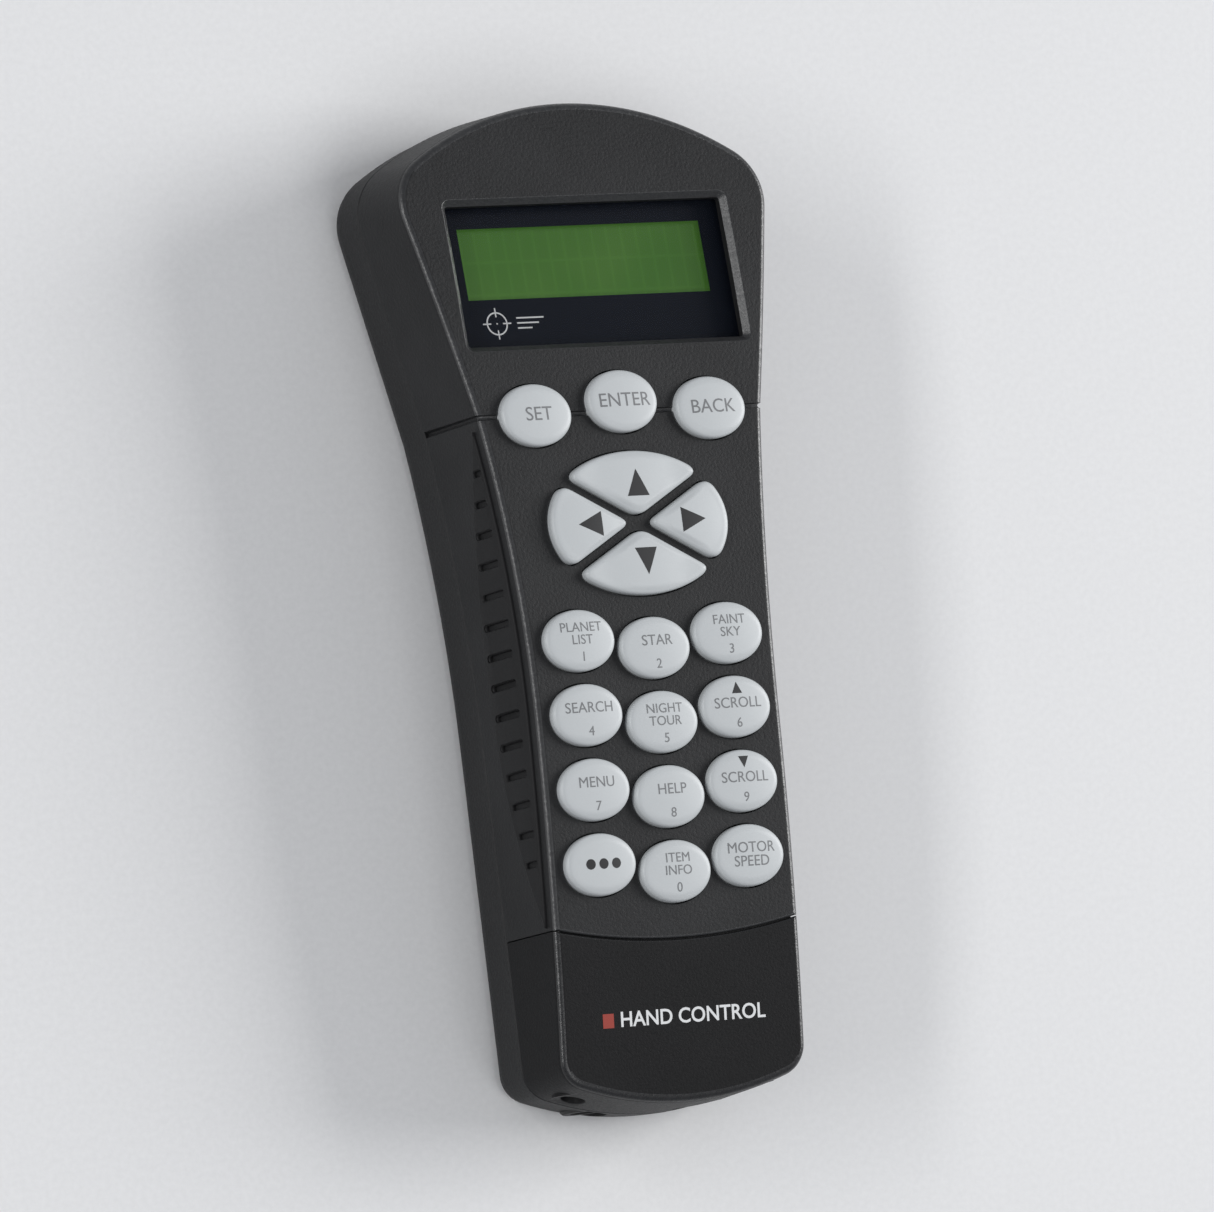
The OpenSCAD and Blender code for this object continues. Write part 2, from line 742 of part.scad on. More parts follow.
// A key: a cap whose top follows the face, tabs that stay under the face and a
// plunger. outline is centred on the key's middle c, mean_r is its mean radius,
// half_len its half length along the case, and each tab is a reach from c.
module key(outline, c, mean_r, half_len, tabs) {
    far = max(abs(c[1] - half_len - 1), abs(c[1] + half_len + 1));
    tab_top = crown(far) - skin - tab_clear;
    foot = tab_top - tab_t;
    n = len(outline);
    // Inset from the edge and height above the face for each ring of the cap
    rings = [[0, key_rise - 0.7], [0.25, key_rise - 0.2], [0.9, key_rise + 0.05], [2.8, key_rise + 0.35]];
    base = [for (p = outline) [p[0] + c[0], p[1] + c[1], foot]];
    upper = [for (r = rings, p = outline) let (k = 1 - r[0] / mean_r, q = c + p * k)
        [q[0], q[1], crown(q[1]) + r[1]]];
    points = concat(base, upper, [[c[0], c[1], crown(c[1]) + key_rise + 0.45]]);
    sides = [for (k = [0:3], i = [0:n - 1]) let (j = (i + 1) % n, a = k * n, b = a + n)
        [a + i, b + i, b + j, a + j]];
    cap = [for (i = [0:n - 1]) [4 * n + i, 5 * n, 4 * n + (i + 1) % n]];
    color("whitesmoke") union() {
        polyhedron(points, concat([[for (i = [0:n - 1]) i]], sides, cap), convexity = 3);
        translate([c[0], c[1], board_top + contact_t + key_travel + 0.05])
            cylinder(r = plunger_r, h = foot - board_top - contact_t - key_travel, $fn = 32);
        for (s = tabs)
            translate([c[0] - (s[0] == 0 ? tab_w / 2 : 0), c[1] - (s[1] == 0 ? tab_w / 2 : 0), foot])
                translate([min(s[0], 0), min(s[1], 0), 0])
                    cube([s[0] == 0 ? tab_w : abs(s[0]), s[1] == 0 ? tab_w : abs(s[1]), tab_t]);
    }
}

module oval_key(c, l) {
    reach = l / 2 + key_gap + tab_reach;
    key(oval(key_w / 2, l / 2), c, (key_w + l) / 4, l / 2, [[0, reach], [0, -reach]]);
}
module number_key(col, row) { oval_key(key_at(col, row), key_l); }

// The pad's keys keep their tabs on the outer edge
module pad_key(i, reach) {
    m = pad_centres[i];
    key([for (p = pad_slices[i]) p - m], m + [0, pad_y], 6.2, i < 2 ? 7 : 9, [reach]);
}

module key_align() { oval_key(top_key_at(0), top_key_l); }
module key_enter() { oval_key(top_key_at(1), top_key_l); }
module key_back() { oval_key(top_key_at(2), top_key_l); }
pad_reach_y = pad_b - pad_up_c[1] + key_gap + tab_reach;
pad_reach_x = pad_a - pad_right_c[0] + key_gap + tab_reach;
module key_up() { pad_key(0, [0, pad_reach_y]); }
module key_down() { pad_key(1, [0, -pad_reach_y]); }
module key_left() { pad_key(2, [-pad_reach_x, 0]); }
module key_right() { pad_key(3, [pad_reach_x, 0]); }
module key_1() { number_key(0, 0); }
module key_2() { number_key(1, 0); }
module key_3() { number_key(2, 0); }
module key_4() { number_key(0, 1); }
module key_5() { number_key(1, 1); }
module key_6() { number_key(2, 1); }
module key_7() { number_key(0, 2); }
module key_8() { number_key(1, 2); }
module key_9() { number_key(2, 2); }
module key_option() { number_key(0, 3); }
module key_0() { number_key(1, 3); }
module key_speed() { number_key(2, 3); }

front_shell();
end_cover();
rear_shell();
rear_label();
grip_left();
grip_right();
display_window();
window_tape();
window_mask();
lcd_bezel();
lcd_glass();
lcd_backlight();
lcd_board();
lcd_header();
lcd_spacers();
main_board();
key_contacts();
keypad_mat();
processor();
memory_chip();
power_regulator();
crystal();
capacitors();
cord_header();
cord_gland();
data_jack();
case_screws();
board_screws();
key_align();
key_enter();
key_back();
key_up();
key_down();
key_left();
key_right();
key_1();
key_2();
key_3();
key_4();
key_5();
key_6();
key_7();
key_8();
key_9();
key_option();
key_0();
key_speed();
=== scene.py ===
"""Looks of the hand controller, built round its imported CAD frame."""
import json
from math import asin, atan, atan2, copysign, cos, dist, hypot, pi, radians, sin, sqrt
import bmesh
import bpy
import numpy as np
from mathutils import Matrix, Vector


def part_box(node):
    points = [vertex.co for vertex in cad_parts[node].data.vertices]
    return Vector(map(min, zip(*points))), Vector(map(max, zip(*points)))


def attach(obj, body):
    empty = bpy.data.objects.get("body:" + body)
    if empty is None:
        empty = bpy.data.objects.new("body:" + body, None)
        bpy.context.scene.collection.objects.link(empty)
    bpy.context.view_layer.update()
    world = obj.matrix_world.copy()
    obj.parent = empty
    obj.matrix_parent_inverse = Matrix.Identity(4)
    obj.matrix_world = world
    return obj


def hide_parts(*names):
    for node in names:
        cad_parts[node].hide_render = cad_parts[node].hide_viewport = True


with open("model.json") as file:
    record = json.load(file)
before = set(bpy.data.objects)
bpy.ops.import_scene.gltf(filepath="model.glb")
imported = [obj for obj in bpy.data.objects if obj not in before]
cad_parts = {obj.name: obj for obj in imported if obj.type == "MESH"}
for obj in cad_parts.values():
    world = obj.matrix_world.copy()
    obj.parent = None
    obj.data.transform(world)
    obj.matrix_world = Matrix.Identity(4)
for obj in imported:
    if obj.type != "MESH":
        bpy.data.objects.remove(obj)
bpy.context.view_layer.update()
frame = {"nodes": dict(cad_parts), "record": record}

MM = 0.001

# ---------------- case dimensions, mm
# These are the driving sizes of the case; the rest comes from the frame.
CASE_L, GRIP_W, CASE_H, CROWN_R = 193.0, 54.0, 33.0, 600.0
PARTING_Z, WALL, SKIN, DRAFT = 12.0, 2.2, 2.4, 0.5
FLARE_Y, FLARE_R, GROOVE_Y, HEAD_SLOPE = -24.5, 400.0, 34.8, 0.22
DOME_R, HEAD_CORNER_R, FOOT_R, FOOT_CORNER_R = 65.0, 11.0, 70.0, 6.0
SEAM_R, SEAM_LOW_Y, SEAM_GAP = 123.0, -65.6, 0.25
KEY_W, KEY_RISE, KEY_GAP, KEY_DOME = 15.3, 1.6, 0.25, 0.5
PAD_W, PAD_L, PAD_WEB, PAD_ANGLE = 39.0, 27.8, 2.0, 29.7
WINDOW_W, WINDOW_L, DISPLAY_Y, LIT_W, LIT_L, LIT_Y = 60.8, 27.8, 63.05, 53.6, 14.1, 3.2
LENS_Y, LENS_HALF, LENS_SAG, LENS_SHELF = -14.5, 47.5, 12.5, 2.6
BOARD_TOP, PLUNGER_R = 17.0, 2.1

SLOT_W, SLOT_N, SLOT_FIRST_Y, SLOT_PITCH, SLOT_END = 1.1, 14, 25.2, 5.75, 0.14
HANGER_R, HANGER_Y, HANGER_NECK, HANGER_RUN, HANGER_H = 5.6, 44.0, 5.8, 15.0, 5.2
PEG_X, PEG_Z, PEG_R, PEG_DEPTH, BOSS_TOP = 20.0, 17.0, 2.3, 9.0, 24.0
CASE_SCREWS = [(s * x, y) for s in (-1, 1) for x, y in ((33, 72), (21, -1.6), (20, -59.8))]
COVER_SCREWS = [(s * 19, -75) for s in (-1, 1)]
BOARD_SCREWS = [(s * x, y) for s in (-1, 1) for x, y in ((24, 44.6), (23.2, 14), (9, -61.3))]

HALF_L, HALF_W = CASE_L / 2, GRIP_W / 2
PANE_W, PANE_L, PANE_T = WINDOW_W + 2.4, WINDOW_L + 2.4, 1.44
BOSS_R, BOSS_CHAMFER, RIB_HALF, POST_R, PILOT_R = 2.9, 0.3, 0.8, 2.0, 1.2
# How far a print's underside lies below the surface that bears it, and its longest edge
PRINT_SINK, PRINT_STEP = 0.004, 0.7
MARK_Y = -80.4      # place of the words on the end cover


def crown(y):
    """Height of the face above the resting plane."""
    return CASE_H - CROWN_R + sqrt(CROWN_R ** 2 - y * y)


def side_x(y):
    """Half width of the straight and flared part of the sides."""
    flared = HALF_W + FLARE_R - sqrt(FLARE_R ** 2 - (min(y, GROOVE_Y) - FLARE_Y) ** 2)
    if y < FLARE_Y:
        return HALF_W
    return flared + max(0.0, y - GROOVE_Y) * HEAD_SLOPE


def side_turn(y):
    """Direction of the side's outward normal, measured from straight down."""
    if y < FLARE_Y:
        return pi / 2
    if y < GROOVE_Y:
        return pi / 2 - asin((y - FLARE_Y) / FLARE_R)
    return pi / 2 - atan(HEAD_SLOPE)


def heading(a):
    """Unit vector at an angle measured from straight down."""
    return np.array([sin(a), -cos(a)])


def arc(c, r, a, b, n, first=0):
    """Stations along an arc: x, y and the direction of the outward normal."""
    turns = [a + (b - a) * i / n for i in range(first, n + 1)]
    return [(*(np.array(c) + r * heading(t)), t) for t in turns]


def right_side():
    """The case's outline from the middle of the bottom end, up the right side, to the top."""
    groove = np.array([side_x(GROOVE_Y), GROOVE_Y])
    dome_c = np.array([0.0, HALF_L - DOME_R])
    turn = pi / 2 - atan(HEAD_SLOPE)
    along = np.array([cos(turn), sin(turn)])
    start = groove - HEAD_CORNER_R * heading(turn)
    rel = start - dome_c
    run = sqrt((rel @ along) ** 2 - rel @ rel + (DOME_R - HEAD_CORNER_R) ** 2) - rel @ along
    corner = start + run * along
    dome_turn = pi - atan2(*(corner - dome_c))
    foot_c = np.array([0.0, FOOT_R - HALF_L])
    foot_turn = asin((HALF_W - FOOT_CORNER_R) / (FOOT_R - FOOT_CORNER_R))
    foot_corner = foot_c + (FOOT_R - FOOT_CORNER_R) * heading(foot_turn)
    side_end = corner[1] + HEAD_CORNER_R * heading(turn)[1]

    def side(a, b, n):
        ys = [a + (b - a) * i / n for i in range(1, n)]
        return [(side_x(y), y, side_turn(y)) for y in ys]

    return (arc(foot_c, FOOT_R, 0, foot_turn, 12)
            + arc(foot_corner, FOOT_CORNER_R, foot_turn, pi / 2, 12, 1)
            + side(foot_corner[1], FLARE_Y, 20) + side(FLARE_Y, GROOVE_Y, 24)
            + [(*groove, (side_turn(GROOVE_Y - 0.01) + turn) / 2)]
            + side(GROOVE_Y, side_end, 14)
            + arc(corner, HEAD_CORNER_R, turn, dome_turn, 20)
            + arc(dome_c, DOME_R, dome_turn, pi, 20, 1))


RIGHT = right_side()
LAST = len(RIGHT) - 1


def ring(inset, level, follows):
    """The outline moved in by inset, at a height or, if it follows the face, a depth below it."""
    pts = []
    for i in range(2 * LAST):
        x, y, a = RIGHT[i if i <= LAST else 2 * LAST - i]
        s = 1 if i <= LAST else -1
        x = 0.0 if i in (0, LAST) else s * (x - inset * sin(a))
        y += inset * cos(a)
        pts.append((x, y, crown(y) - level if follows else level))
    return pts


def bands(n, count, around=False):
    """Faces between neighbouring rings of n points, and from the last to the first if around."""
    return [(k * n + i, k * n + (i + 1) % n, (k + 1) % count * n + (i + 1) % n, (k + 1) % count * n + i)
            for k in range(count if around else count - 1) for i in range(n)]


def case_loft(rings):
    """Vertices and faces of a closed solid through rings, capped by strips across the case."""
    n = 2 * LAST
    top = (len(rings) - 1) * n
    verts = [p for r in rings for p in r]
    faces = bands(n, len(rings))
    strips = [(0, 1, n - 1)] + [(i, i + 1, n - i - 1, n - i) for i in range(1, LAST - 1)]
    strips.append((LAST - 1, LAST, LAST + 1))
    faces += [tuple(reversed(f)) for f in strips]
    faces += [tuple(top + v for v in f) for f in strips]
    return verts, faces


# ---------------- mesh helpers
def linked(name, data):
    """A new object in the scene."""
    obj = bpy.data.objects.new(name, data)
    bpy.context.scene.collection.objects.link(obj)
    return obj


def make(name, verts, faces, material=None):
    """A mesh object from vertices in millimetres."""
    mesh = bpy.data.meshes.new(name)
    mesh.from_pydata([tuple(c * MM for c in v) for v in verts], [], faces)
    mesh.update()
    if material:
        mesh.materials.append(material)
    return linked(name, mesh)


def outwards(bm):
    """Turns a mesh that is inside out."""
    if bm.calc_volume(signed=True) < 0:
        bmesh.ops.reverse_faces(bm, faces=bm.faces)


def recalc(obj):
    """Turns the normals of a closed mesh outwards."""
    bm = bmesh.new()
    bm.from_mesh(obj.data)
    bmesh.ops.recalc_face_normals(bm, faces=bm.faces)
    outwards(bm)
    bm.to_mesh(obj.data)
    bm.free()
    return obj


def boolean(target, cutter, operation="DIFFERENCE"):
    """Cuts target with cutter, keeps the result in target and removes cutter."""
    mod = target.modifiers.new("cut", "BOOLEAN")
    mod.object, mod.operation, mod.solver = cutter, operation, "EXACT"
    dg = bpy.context.evaluated_depsgraph_get()
    mesh = bpy.data.meshes.new_from_object(target.evaluated_get(dg))
    old = target.data
    target.modifiers.clear()
    target.data = mesh
    mesh.name = target.name
    bpy.data.meshes.remove(old)
    bpy.data.objects.remove(cutter)
    return target


def soften(obj, angle=28):
    """Smooth shading with sharp creases, weighted so that flat areas stay flat."""
    for p in obj.data.polygons:
        p.use_smooth = True
    obj.data.set_sharp_from_angle(angle=radians(angle))
    mod = obj.modifiers.new("normals", "WEIGHTED_NORMAL")
    mod.keep_sharp = True
    mod.weight = 70
    return obj


FACE_NEAR, FACE_LEVEL = 0.012, 0.93     # what counts as the face: distance in mm, and cosine of the tilt


def crown_normals(obj, angle=28):
    """Like soften, but the face gets the crown's own normals, so that it shades evenly."""
    mesh = obj.data
    for p in mesh.polygons:
        p.use_smooth = True
    mesh.set_sharp_from_angle(angle=radians(angle))
    normals = [(0.0, 0.0, 0.0)] * len(mesh.loops)
    on_face = [abs(v.co.z / MM - crown(v.co.y / MM)) < FACE_NEAR for v in mesh.vertices]
    for p in mesh.polygons:
        for k in p.loop_indices:
            v = mesh.loops[k].vertex_index
            y = mesh.vertices[v].co.y / MM
            n = Vector((0.0, y / CROWN_R, sqrt(1 - (y / CROWN_R) ** 2)))
            if on_face[v] and p.normal.dot(n) > FACE_LEVEL:
                normals[k] = n
    mesh.normals_split_custom_set(normals)
    mark_rims(obj)


def mark_rims(obj, below_face=1.3, above_back=1.8):
    """Marks the rounded edges near the face and the back, so that the material can paint a highlight on
    them and make them glossier.
    """
    rim = obj.data.attributes.new("rim", "FLOAT", "FACE")
    for p in obj.data.polygons:
        z, y = p.center.z / MM, p.center.y / MM
        near = z > crown(y) - below_face or z < above_back
        rim.data[p.index].value = float(near and 0.25 < abs(p.normal.z) < 0.985)


def place(obj, body, slot, *nodes):
    """Puts a piece on its body and hides the CAD nodes that it replaces; slot is not used."""
    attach(obj, body)
    if nodes:
        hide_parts(*nodes)
    return obj


def loft(name, rings, material=None):
    """Closed solid through rings of equal length, each end closed by one face."""
    n, count = len(rings[0]), len(rings)
    ends = [tuple(range(n - 1, -1, -1)), tuple(range((count - 1) * n, count * n))]
    return make(name, [p for r in rings for p in r], ends + bands(n, count), material)


def closed(name, rings, material=None):
    """A loft with its normals turned outwards."""
    return recalc(loft(name, rings, material))


def case_solid(name, rings, material=None):
    """Closed solid through rings of the case's outline."""
    return recalc(make(name, *case_loft(rings), material))


def drop_slivers(bm):
    """Triangulates a mesh and merges triangles of no area into their neighbours."""
    bmesh.ops.triangulate(bm, faces=bm.faces)
    for _ in range(4):
        flat = [f for f in bm.faces if f.calc_area() < 1e-12]
        longest = list(dict.fromkeys(max(f.edges, key=lambda e: e.calc_length()) for f in flat))
        if not longest:
            break
        bmesh.ops.dissolve_edges(bm, edges=longest, use_verts=False)
        bmesh.ops.triangulate(bm, faces=bm.faces)


def join(objs):
    """Joins mesh objects into the first one."""
    bm = bmesh.new()
    for o in objs:
        bm.from_mesh(o.data)
    bm.to_mesh(objs[0].data)
    bm.free()
    for o in objs[1:]:
        bpy.data.objects.remove(o)
    return objs[0]


# ---------------- material helpers
class Nodes:
    """Small helper that builds a node material."""

    def __init__(self, name):
        self.mat = bpy.data.materials.new(name)
        self.mat.use_nodes = True
        self.tree = self.mat.node_tree
        self.bsdf = self.tree.nodes["Principled BSDF"]
        self.coord = self.tree.nodes.new("ShaderNodeTexCoord").outputs["Object"]

    def add(self, kind, **values):
        """A new node. A name in values is one of its own, or that of an input, with _ for a space."""
        node = self.tree.nodes.new("ShaderNode" + kind)
        for key, value in values.items():
            if hasattr(node, key):
                setattr(node, key, value)
            else:
                node.inputs[key.replace("_", " ")].default_value = value
        return node

    def link(self, a, b):
        self.tree.links.new(a, b)

    def noise(self, size_mm, detail=3.0, roughness=0.55, stretch=None):
        """Noise whose features are about size_mm across."""
        node = self.add("TexNoise", Scale=1.0 / (size_mm * MM), Detail=detail, Roughness=roughness)
        source = self.coord
        if stretch:
            scale = self.add("Mapping", Scale=stretch)
            self.link(source, scale.inputs["Vector"])
            source = scale.outputs["Vector"]
        self.link(source, node.inputs["Vector"])
        return node.outputs["Fac"]

    def remap(self, value, lo, hi, to_lo, to_hi):
        node = self.add("MapRange", From_Min=lo, From_Max=hi, To_Min=to_lo, To_Max=to_hi)
        self.link(value, node.inputs["Value"])
        return node.outputs["Result"]

    def ramp(self, value, stops):
        node = self.add("ValToRGB")
        ramp = node.color_ramp
        ramp.elements[0].position, ramp.elements[0].color = stops[0][0], (*stops[0][1], 1)
        ramp.elements[1].position, ramp.elements[1].color = stops[-1][0], (*stops[-1][1], 1)
        for pos, color in stops[1:-1]:
            ramp.elements.new(pos).color = (*color, 1)
        self.link(value, node.inputs["Fac"])
        return node.outputs["Color"]

    def feed(self, node, key, value):
        """Gives an input a number or colour, or the output of another node."""
        if isinstance(value, (float, tuple)):
            node.inputs[key].default_value = (*value, 1) if isinstance(value, tuple) else value
        else:
            self.link(value, node.inputs[key])

    def mix(self, fac, a, b):
        node = self.add("Mix", data_type="RGBA")
        for key, value in (("Factor", fac), (6, a), (7, b)):
            self.feed(node, key, value)
        return node.outputs[2]

    def math(self, op, a, b):
        node = self.add("Math", operation=op)
        self.feed(node, 0, a)
        self.feed(node, 1, b)
        return node.outputs[0]

    def bump(self, height, strength, depth_mm):
        node = self.add("Bump", Strength=strength, Distance=depth_mm * MM)
        self.link(height, node.inputs["Height"])
        self.link(node.outputs["Normal"], self.bsdf.inputs["Normal"])

    def color(self, socket):
        self.link(socket, self.bsdf.inputs["Base Color"])

    def rough(self, socket):
        self.link(socket, self.bsdf.inputs["Roughness"])

    def set(self, **values):
        for key, value in values.items():
            self.bsdf.inputs[key.replace("_", " ")].default_value = value


def shade(color, k):
    """A colour made k times as bright."""
    return tuple(min(1.0, c * k) for c in color)


def moulded(name, color, rough, grain_mm, depth_mm, variation=0.12, specular=0.5, edge_highlight=0.0):
    """Moulded plastic or rubber: spark texture, slight cloudiness, and glossier edges with a painted
    highlight.
    """
    m = Nodes(name)
    grain = m.noise(grain_mm, 4.0, 0.6)
    cloud = m.noise(18.0, 2.0, 0.5)
    mixed = m.math("ADD", m.math("MULTIPLY", grain, 0.6), m.math("MULTIPLY", cloud, 0.4))
    base = m.ramp(mixed, [(0.3, shade(color, 1 - variation)), (0.7, shade(color, 1 + variation))])
    gloss = m.remap(grain, 0.3, 0.7, rough - 0.06, rough + 0.08)
    m.set(Specular_IOR_Level=specular)
    if edge_highlight:
        # On the rims the colour is mixed, in patches, towards a paler copy: a painted highlight along
        # the rounded edges. The lower roughness and higher specular there make the rims glossier.
        rim = m.add("Attribute", attribute_name="rim").outputs["Fac"]
        patchy_highlight = m.remap(m.noise(2.2, 4.0), 0.42, 0.62, 0.4 * edge_highlight, edge_highlight)
        base = m.mix(m.math("MULTIPLY", rim, patchy_highlight), base, shade(color, 2.6))
        gloss = m.math("SUBTRACT", gloss, m.math("MULTIPLY", rim, 0.16))
        polish = m.math("ADD", specular, m.math("MULTIPLY", rim, 0.45))
        m.link(polish, m.bsdf.inputs["Specular IOR Level"])
    m.color(base)
    m.rough(gloss)
    m.bump(grain, 0.8, depth_mm)
    return m.mat


CHARCOAL = (0.0158, 0.0161, 0.0168)
MATERIALS = {}

# Slot, then what moulded() takes: name, colour, roughness, grain and its depth in mm, then the
# colour's variation, the specular level and the painted edge highlight where they differ from the
# defaults
PLASTICS = [
    ("shell", "shell_plastic", CHARCOAL, 0.5, 0.6, 0.12, 0.4, 0.26, 0.3),
    ("cover", "cover_plastic", (0.0072, 0.0072, 0.0077), 0.46, 0.5, 0.07, 0.3, 0.17, 0.3),
    ("rear", "rear_plastic", shade(CHARCOAL, 0.8), 0.52, 0.6, 0.11, 0.25, 0.3, 0.3),
    ("grip", "grip_rubber", (0.010, 0.010, 0.0105), 0.62, 0.3, 0.03, 0.15, 0.3),
    ("gland", "gland_rubber", (0.014, 0.014, 0.014), 0.6, 0.2, 0.02),
    ("jack", "jack_plastic", (0.02, 0.02, 0.02), 0.35, 0.3, 0.01),
    ("key", "key_plastic", (0.56, 0.583, 0.59), 0.4, 0.25, 0.012, 0.03),
    ("mat", "mat_silicone", (0.55, 0.55, 0.54), 0.5, 0.4, 0.02, 0.05),
    ("spacer", "nylon", (0.62, 0.6, 0.52), 0.45, 0.3, 0.01, 0.05),
    ("chip", "chip_plastic", (0.02, 0.02, 0.02), 0.5, 0.15, 0.01),
    ("carbon", "carbon_ink", (0.015, 0.015, 0.015), 0.6, 0.2, 0.01),
    ("tape", "foam_tape", (0.01, 0.01, 0.01), 0.8, 0.2, 0.02),
    ("bezel", "bezel_paint", (0.015, 0.015, 0.016), 0.35, 0.2, 0.01),
    ("mask", "mask_print", (0.006, 0.008, 0.013), 0.4, 0.3, 0.002, 0.05, 0.1),
    *[(name, name, color, rough, 0.2, 0.005, 0.05) for name, color, rough in (
        ("print_grey", (0.19, 0.195, 0.2), 0.55), ("print_dark", (0.014, 0.014, 0.015), 0.55),
        ("print_white", (0.75, 0.76, 0.76), 0.5), ("print_red", (0.32, 0.035, 0.02), 0.5))],
]
# Slot, colour and roughness
METALS = [("screw", (0.5, 0.5, 0.51), 0.32), ("can", (0.62, 0.62, 0.63), 0.3),
          ("pins", (0.72, 0.53, 0.24), 0.28), ("label", (0.42, 0.43, 0.44), 0.4)]


def build_materials():
    for slot, *look in PLASTICS:
        MATERIALS[slot] = moulded(*look)
    for name, color, rough in METALS:
        m = Nodes(name + "_metal")
        streak = m.noise(0.6, 3.0, 0.6, (1.0, 12.0, 1.0))
        m.color(m.ramp(streak, [(0.3, shade(color, 0.85)), (0.7, shade(color, 1.1))]))
        m.rough(m.remap(streak, 0.3, 0.7, rough - 0.06, rough + 0.1))
        m.bump(streak, 0.4, 0.01)
        m.set(Metallic=0.0 if name == "label" else 1.0)
        MATERIALS[name] = m.mat
    MATERIALS["board"] = board_material()
    MATERIALS["window"] = window_material()
    MATERIALS["lcd"] = lcd_material("lcd_glass", (0.05, 0.14, 0.022), 0.43)
    MATERIALS["backlight"] = lcd_material("lcd_backlight", (0.12, 0.28, 0.06), 0.5)


def board_material():
    """Solder mask over thin copper tracks."""
    m = Nodes("circuit_board")
    green = (0.008, 0.085, 0.035)
    brick = m.add("TexBrick", offset=0.37, squash=1.0, Scale=1.0, Brick_Width=9.0 * MM,
                  Row_Height=1.3 * MM, Mortar_Size=0.16 * MM)
    m.link(m.coord, brick.inputs["Vector"])
    m.color(m.mix(brick.outputs["Fac"], green, shade(green, 2.4)))
    m.rough(m.remap(m.noise(2.0), 0.3, 0.7, 0.25, 0.4))
    m.bump(brick.outputs["Fac"], 0.5, 0.02)
    return m.mat


def window_material():
    """Clear, faintly smoked pane."""
    m = Nodes("clear_pane")
    smudge = m.noise(14.0, 3.0, 0.6)
    m.rough(m.remap(smudge, 0.4, 0.8, 0.04, 0.09))
    m.bump(m.noise(30.0, 1.0), 0.1, 0.01)
    m.color(m.ramp(smudge, [(0.3, (0.01, 0.013, 0.02)), (0.7, (0.012, 0.015, 0.022))]))
    m.set(Alpha=0.1, Specular_IOR_Level=0.2)
    return m.mat


def lcd_material(name, color, glow):
    """Lit display: faint character cells over an even green."""
    m = Nodes(name)
    drift = m.noise(22.0, 2.0, 0.5)
    warm = (color[0] * 1.15, color[1] * 1.04, color[2])
    even = m.ramp(drift, [(0.3, shade(color, 0.93)), (0.7, warm)])
    spot = m.add("Mapping", Location=(0.0, -(DISPLAY_Y + LIT_Y) * MM, 0.0))
    m.link(m.coord, spot.inputs["Vector"])
    cells = m.add("TexBrick", offset=0.0, squash=1.0, Scale=1.0, Brick_Width=LIT_W / 16.5 * MM,
                  Row_Height=LIT_L / 2.2 * MM, Mortar_Size=0.3 * MM, Mortar_Smooth=0.2)
    m.link(spot.outputs["Vector"], cells.inputs["Vector"])
    base = m.mix(m.remap(cells.outputs["Fac"], 0.0, 1.0, 0.18, 0.0), even, shade(color, 0.5))
    m.color(base)
    m.link(base, m.bsdf.inputs["Emission Color"])
    m.rough(m.remap(drift, 0.3, 0.7, 0.18, 0.28))
    m.set(Emission_Strength=glow)
    return m.mat


# ---------------- outlines of keys and openings
def oval(a, b, n=72):
    """Points of an ellipse."""
    return [(a * cos(2 * pi * i / n), b * sin(2 * pi * i / n)) for i in range(n)]


def offset(pts, grow):
    """A closed, counter-clockwise, convex outline moved outwards by grow."""
    n, out = len(pts), []
    for i in range(n):
        ax, ay = pts[i - 1]
        bx, by = pts[(i + 1) % n]
        tx, ty = bx - ax, by - ay
        length = hypot(tx, ty)
        out.append((pts[i][0] + ty / length * grow, pts[i][1] - tx / length * grow))
    return out


def resample(pts, n):
    """n points at even spacing along a closed outline."""
    p = np.array(list(pts) + [pts[0]])
    d = np.concatenate([[0], np.cumsum(np.linalg.norm(np.diff(p, axis=0), axis=1))])
    s = np.linspace(0, d[-1], n, endpoint=False)
    return list(zip(np.interp(s, d, p[:, 0]), np.interp(s, d, p[:, 1])))


def bend(a, b, c, n):
    a, b, c = map(np.array, (a, b, c))
    return [tuple((1 - t) ** 2 * a + 2 * t * (1 - t) * b + t * t * c) for t in np.linspace(0, 1, n)]


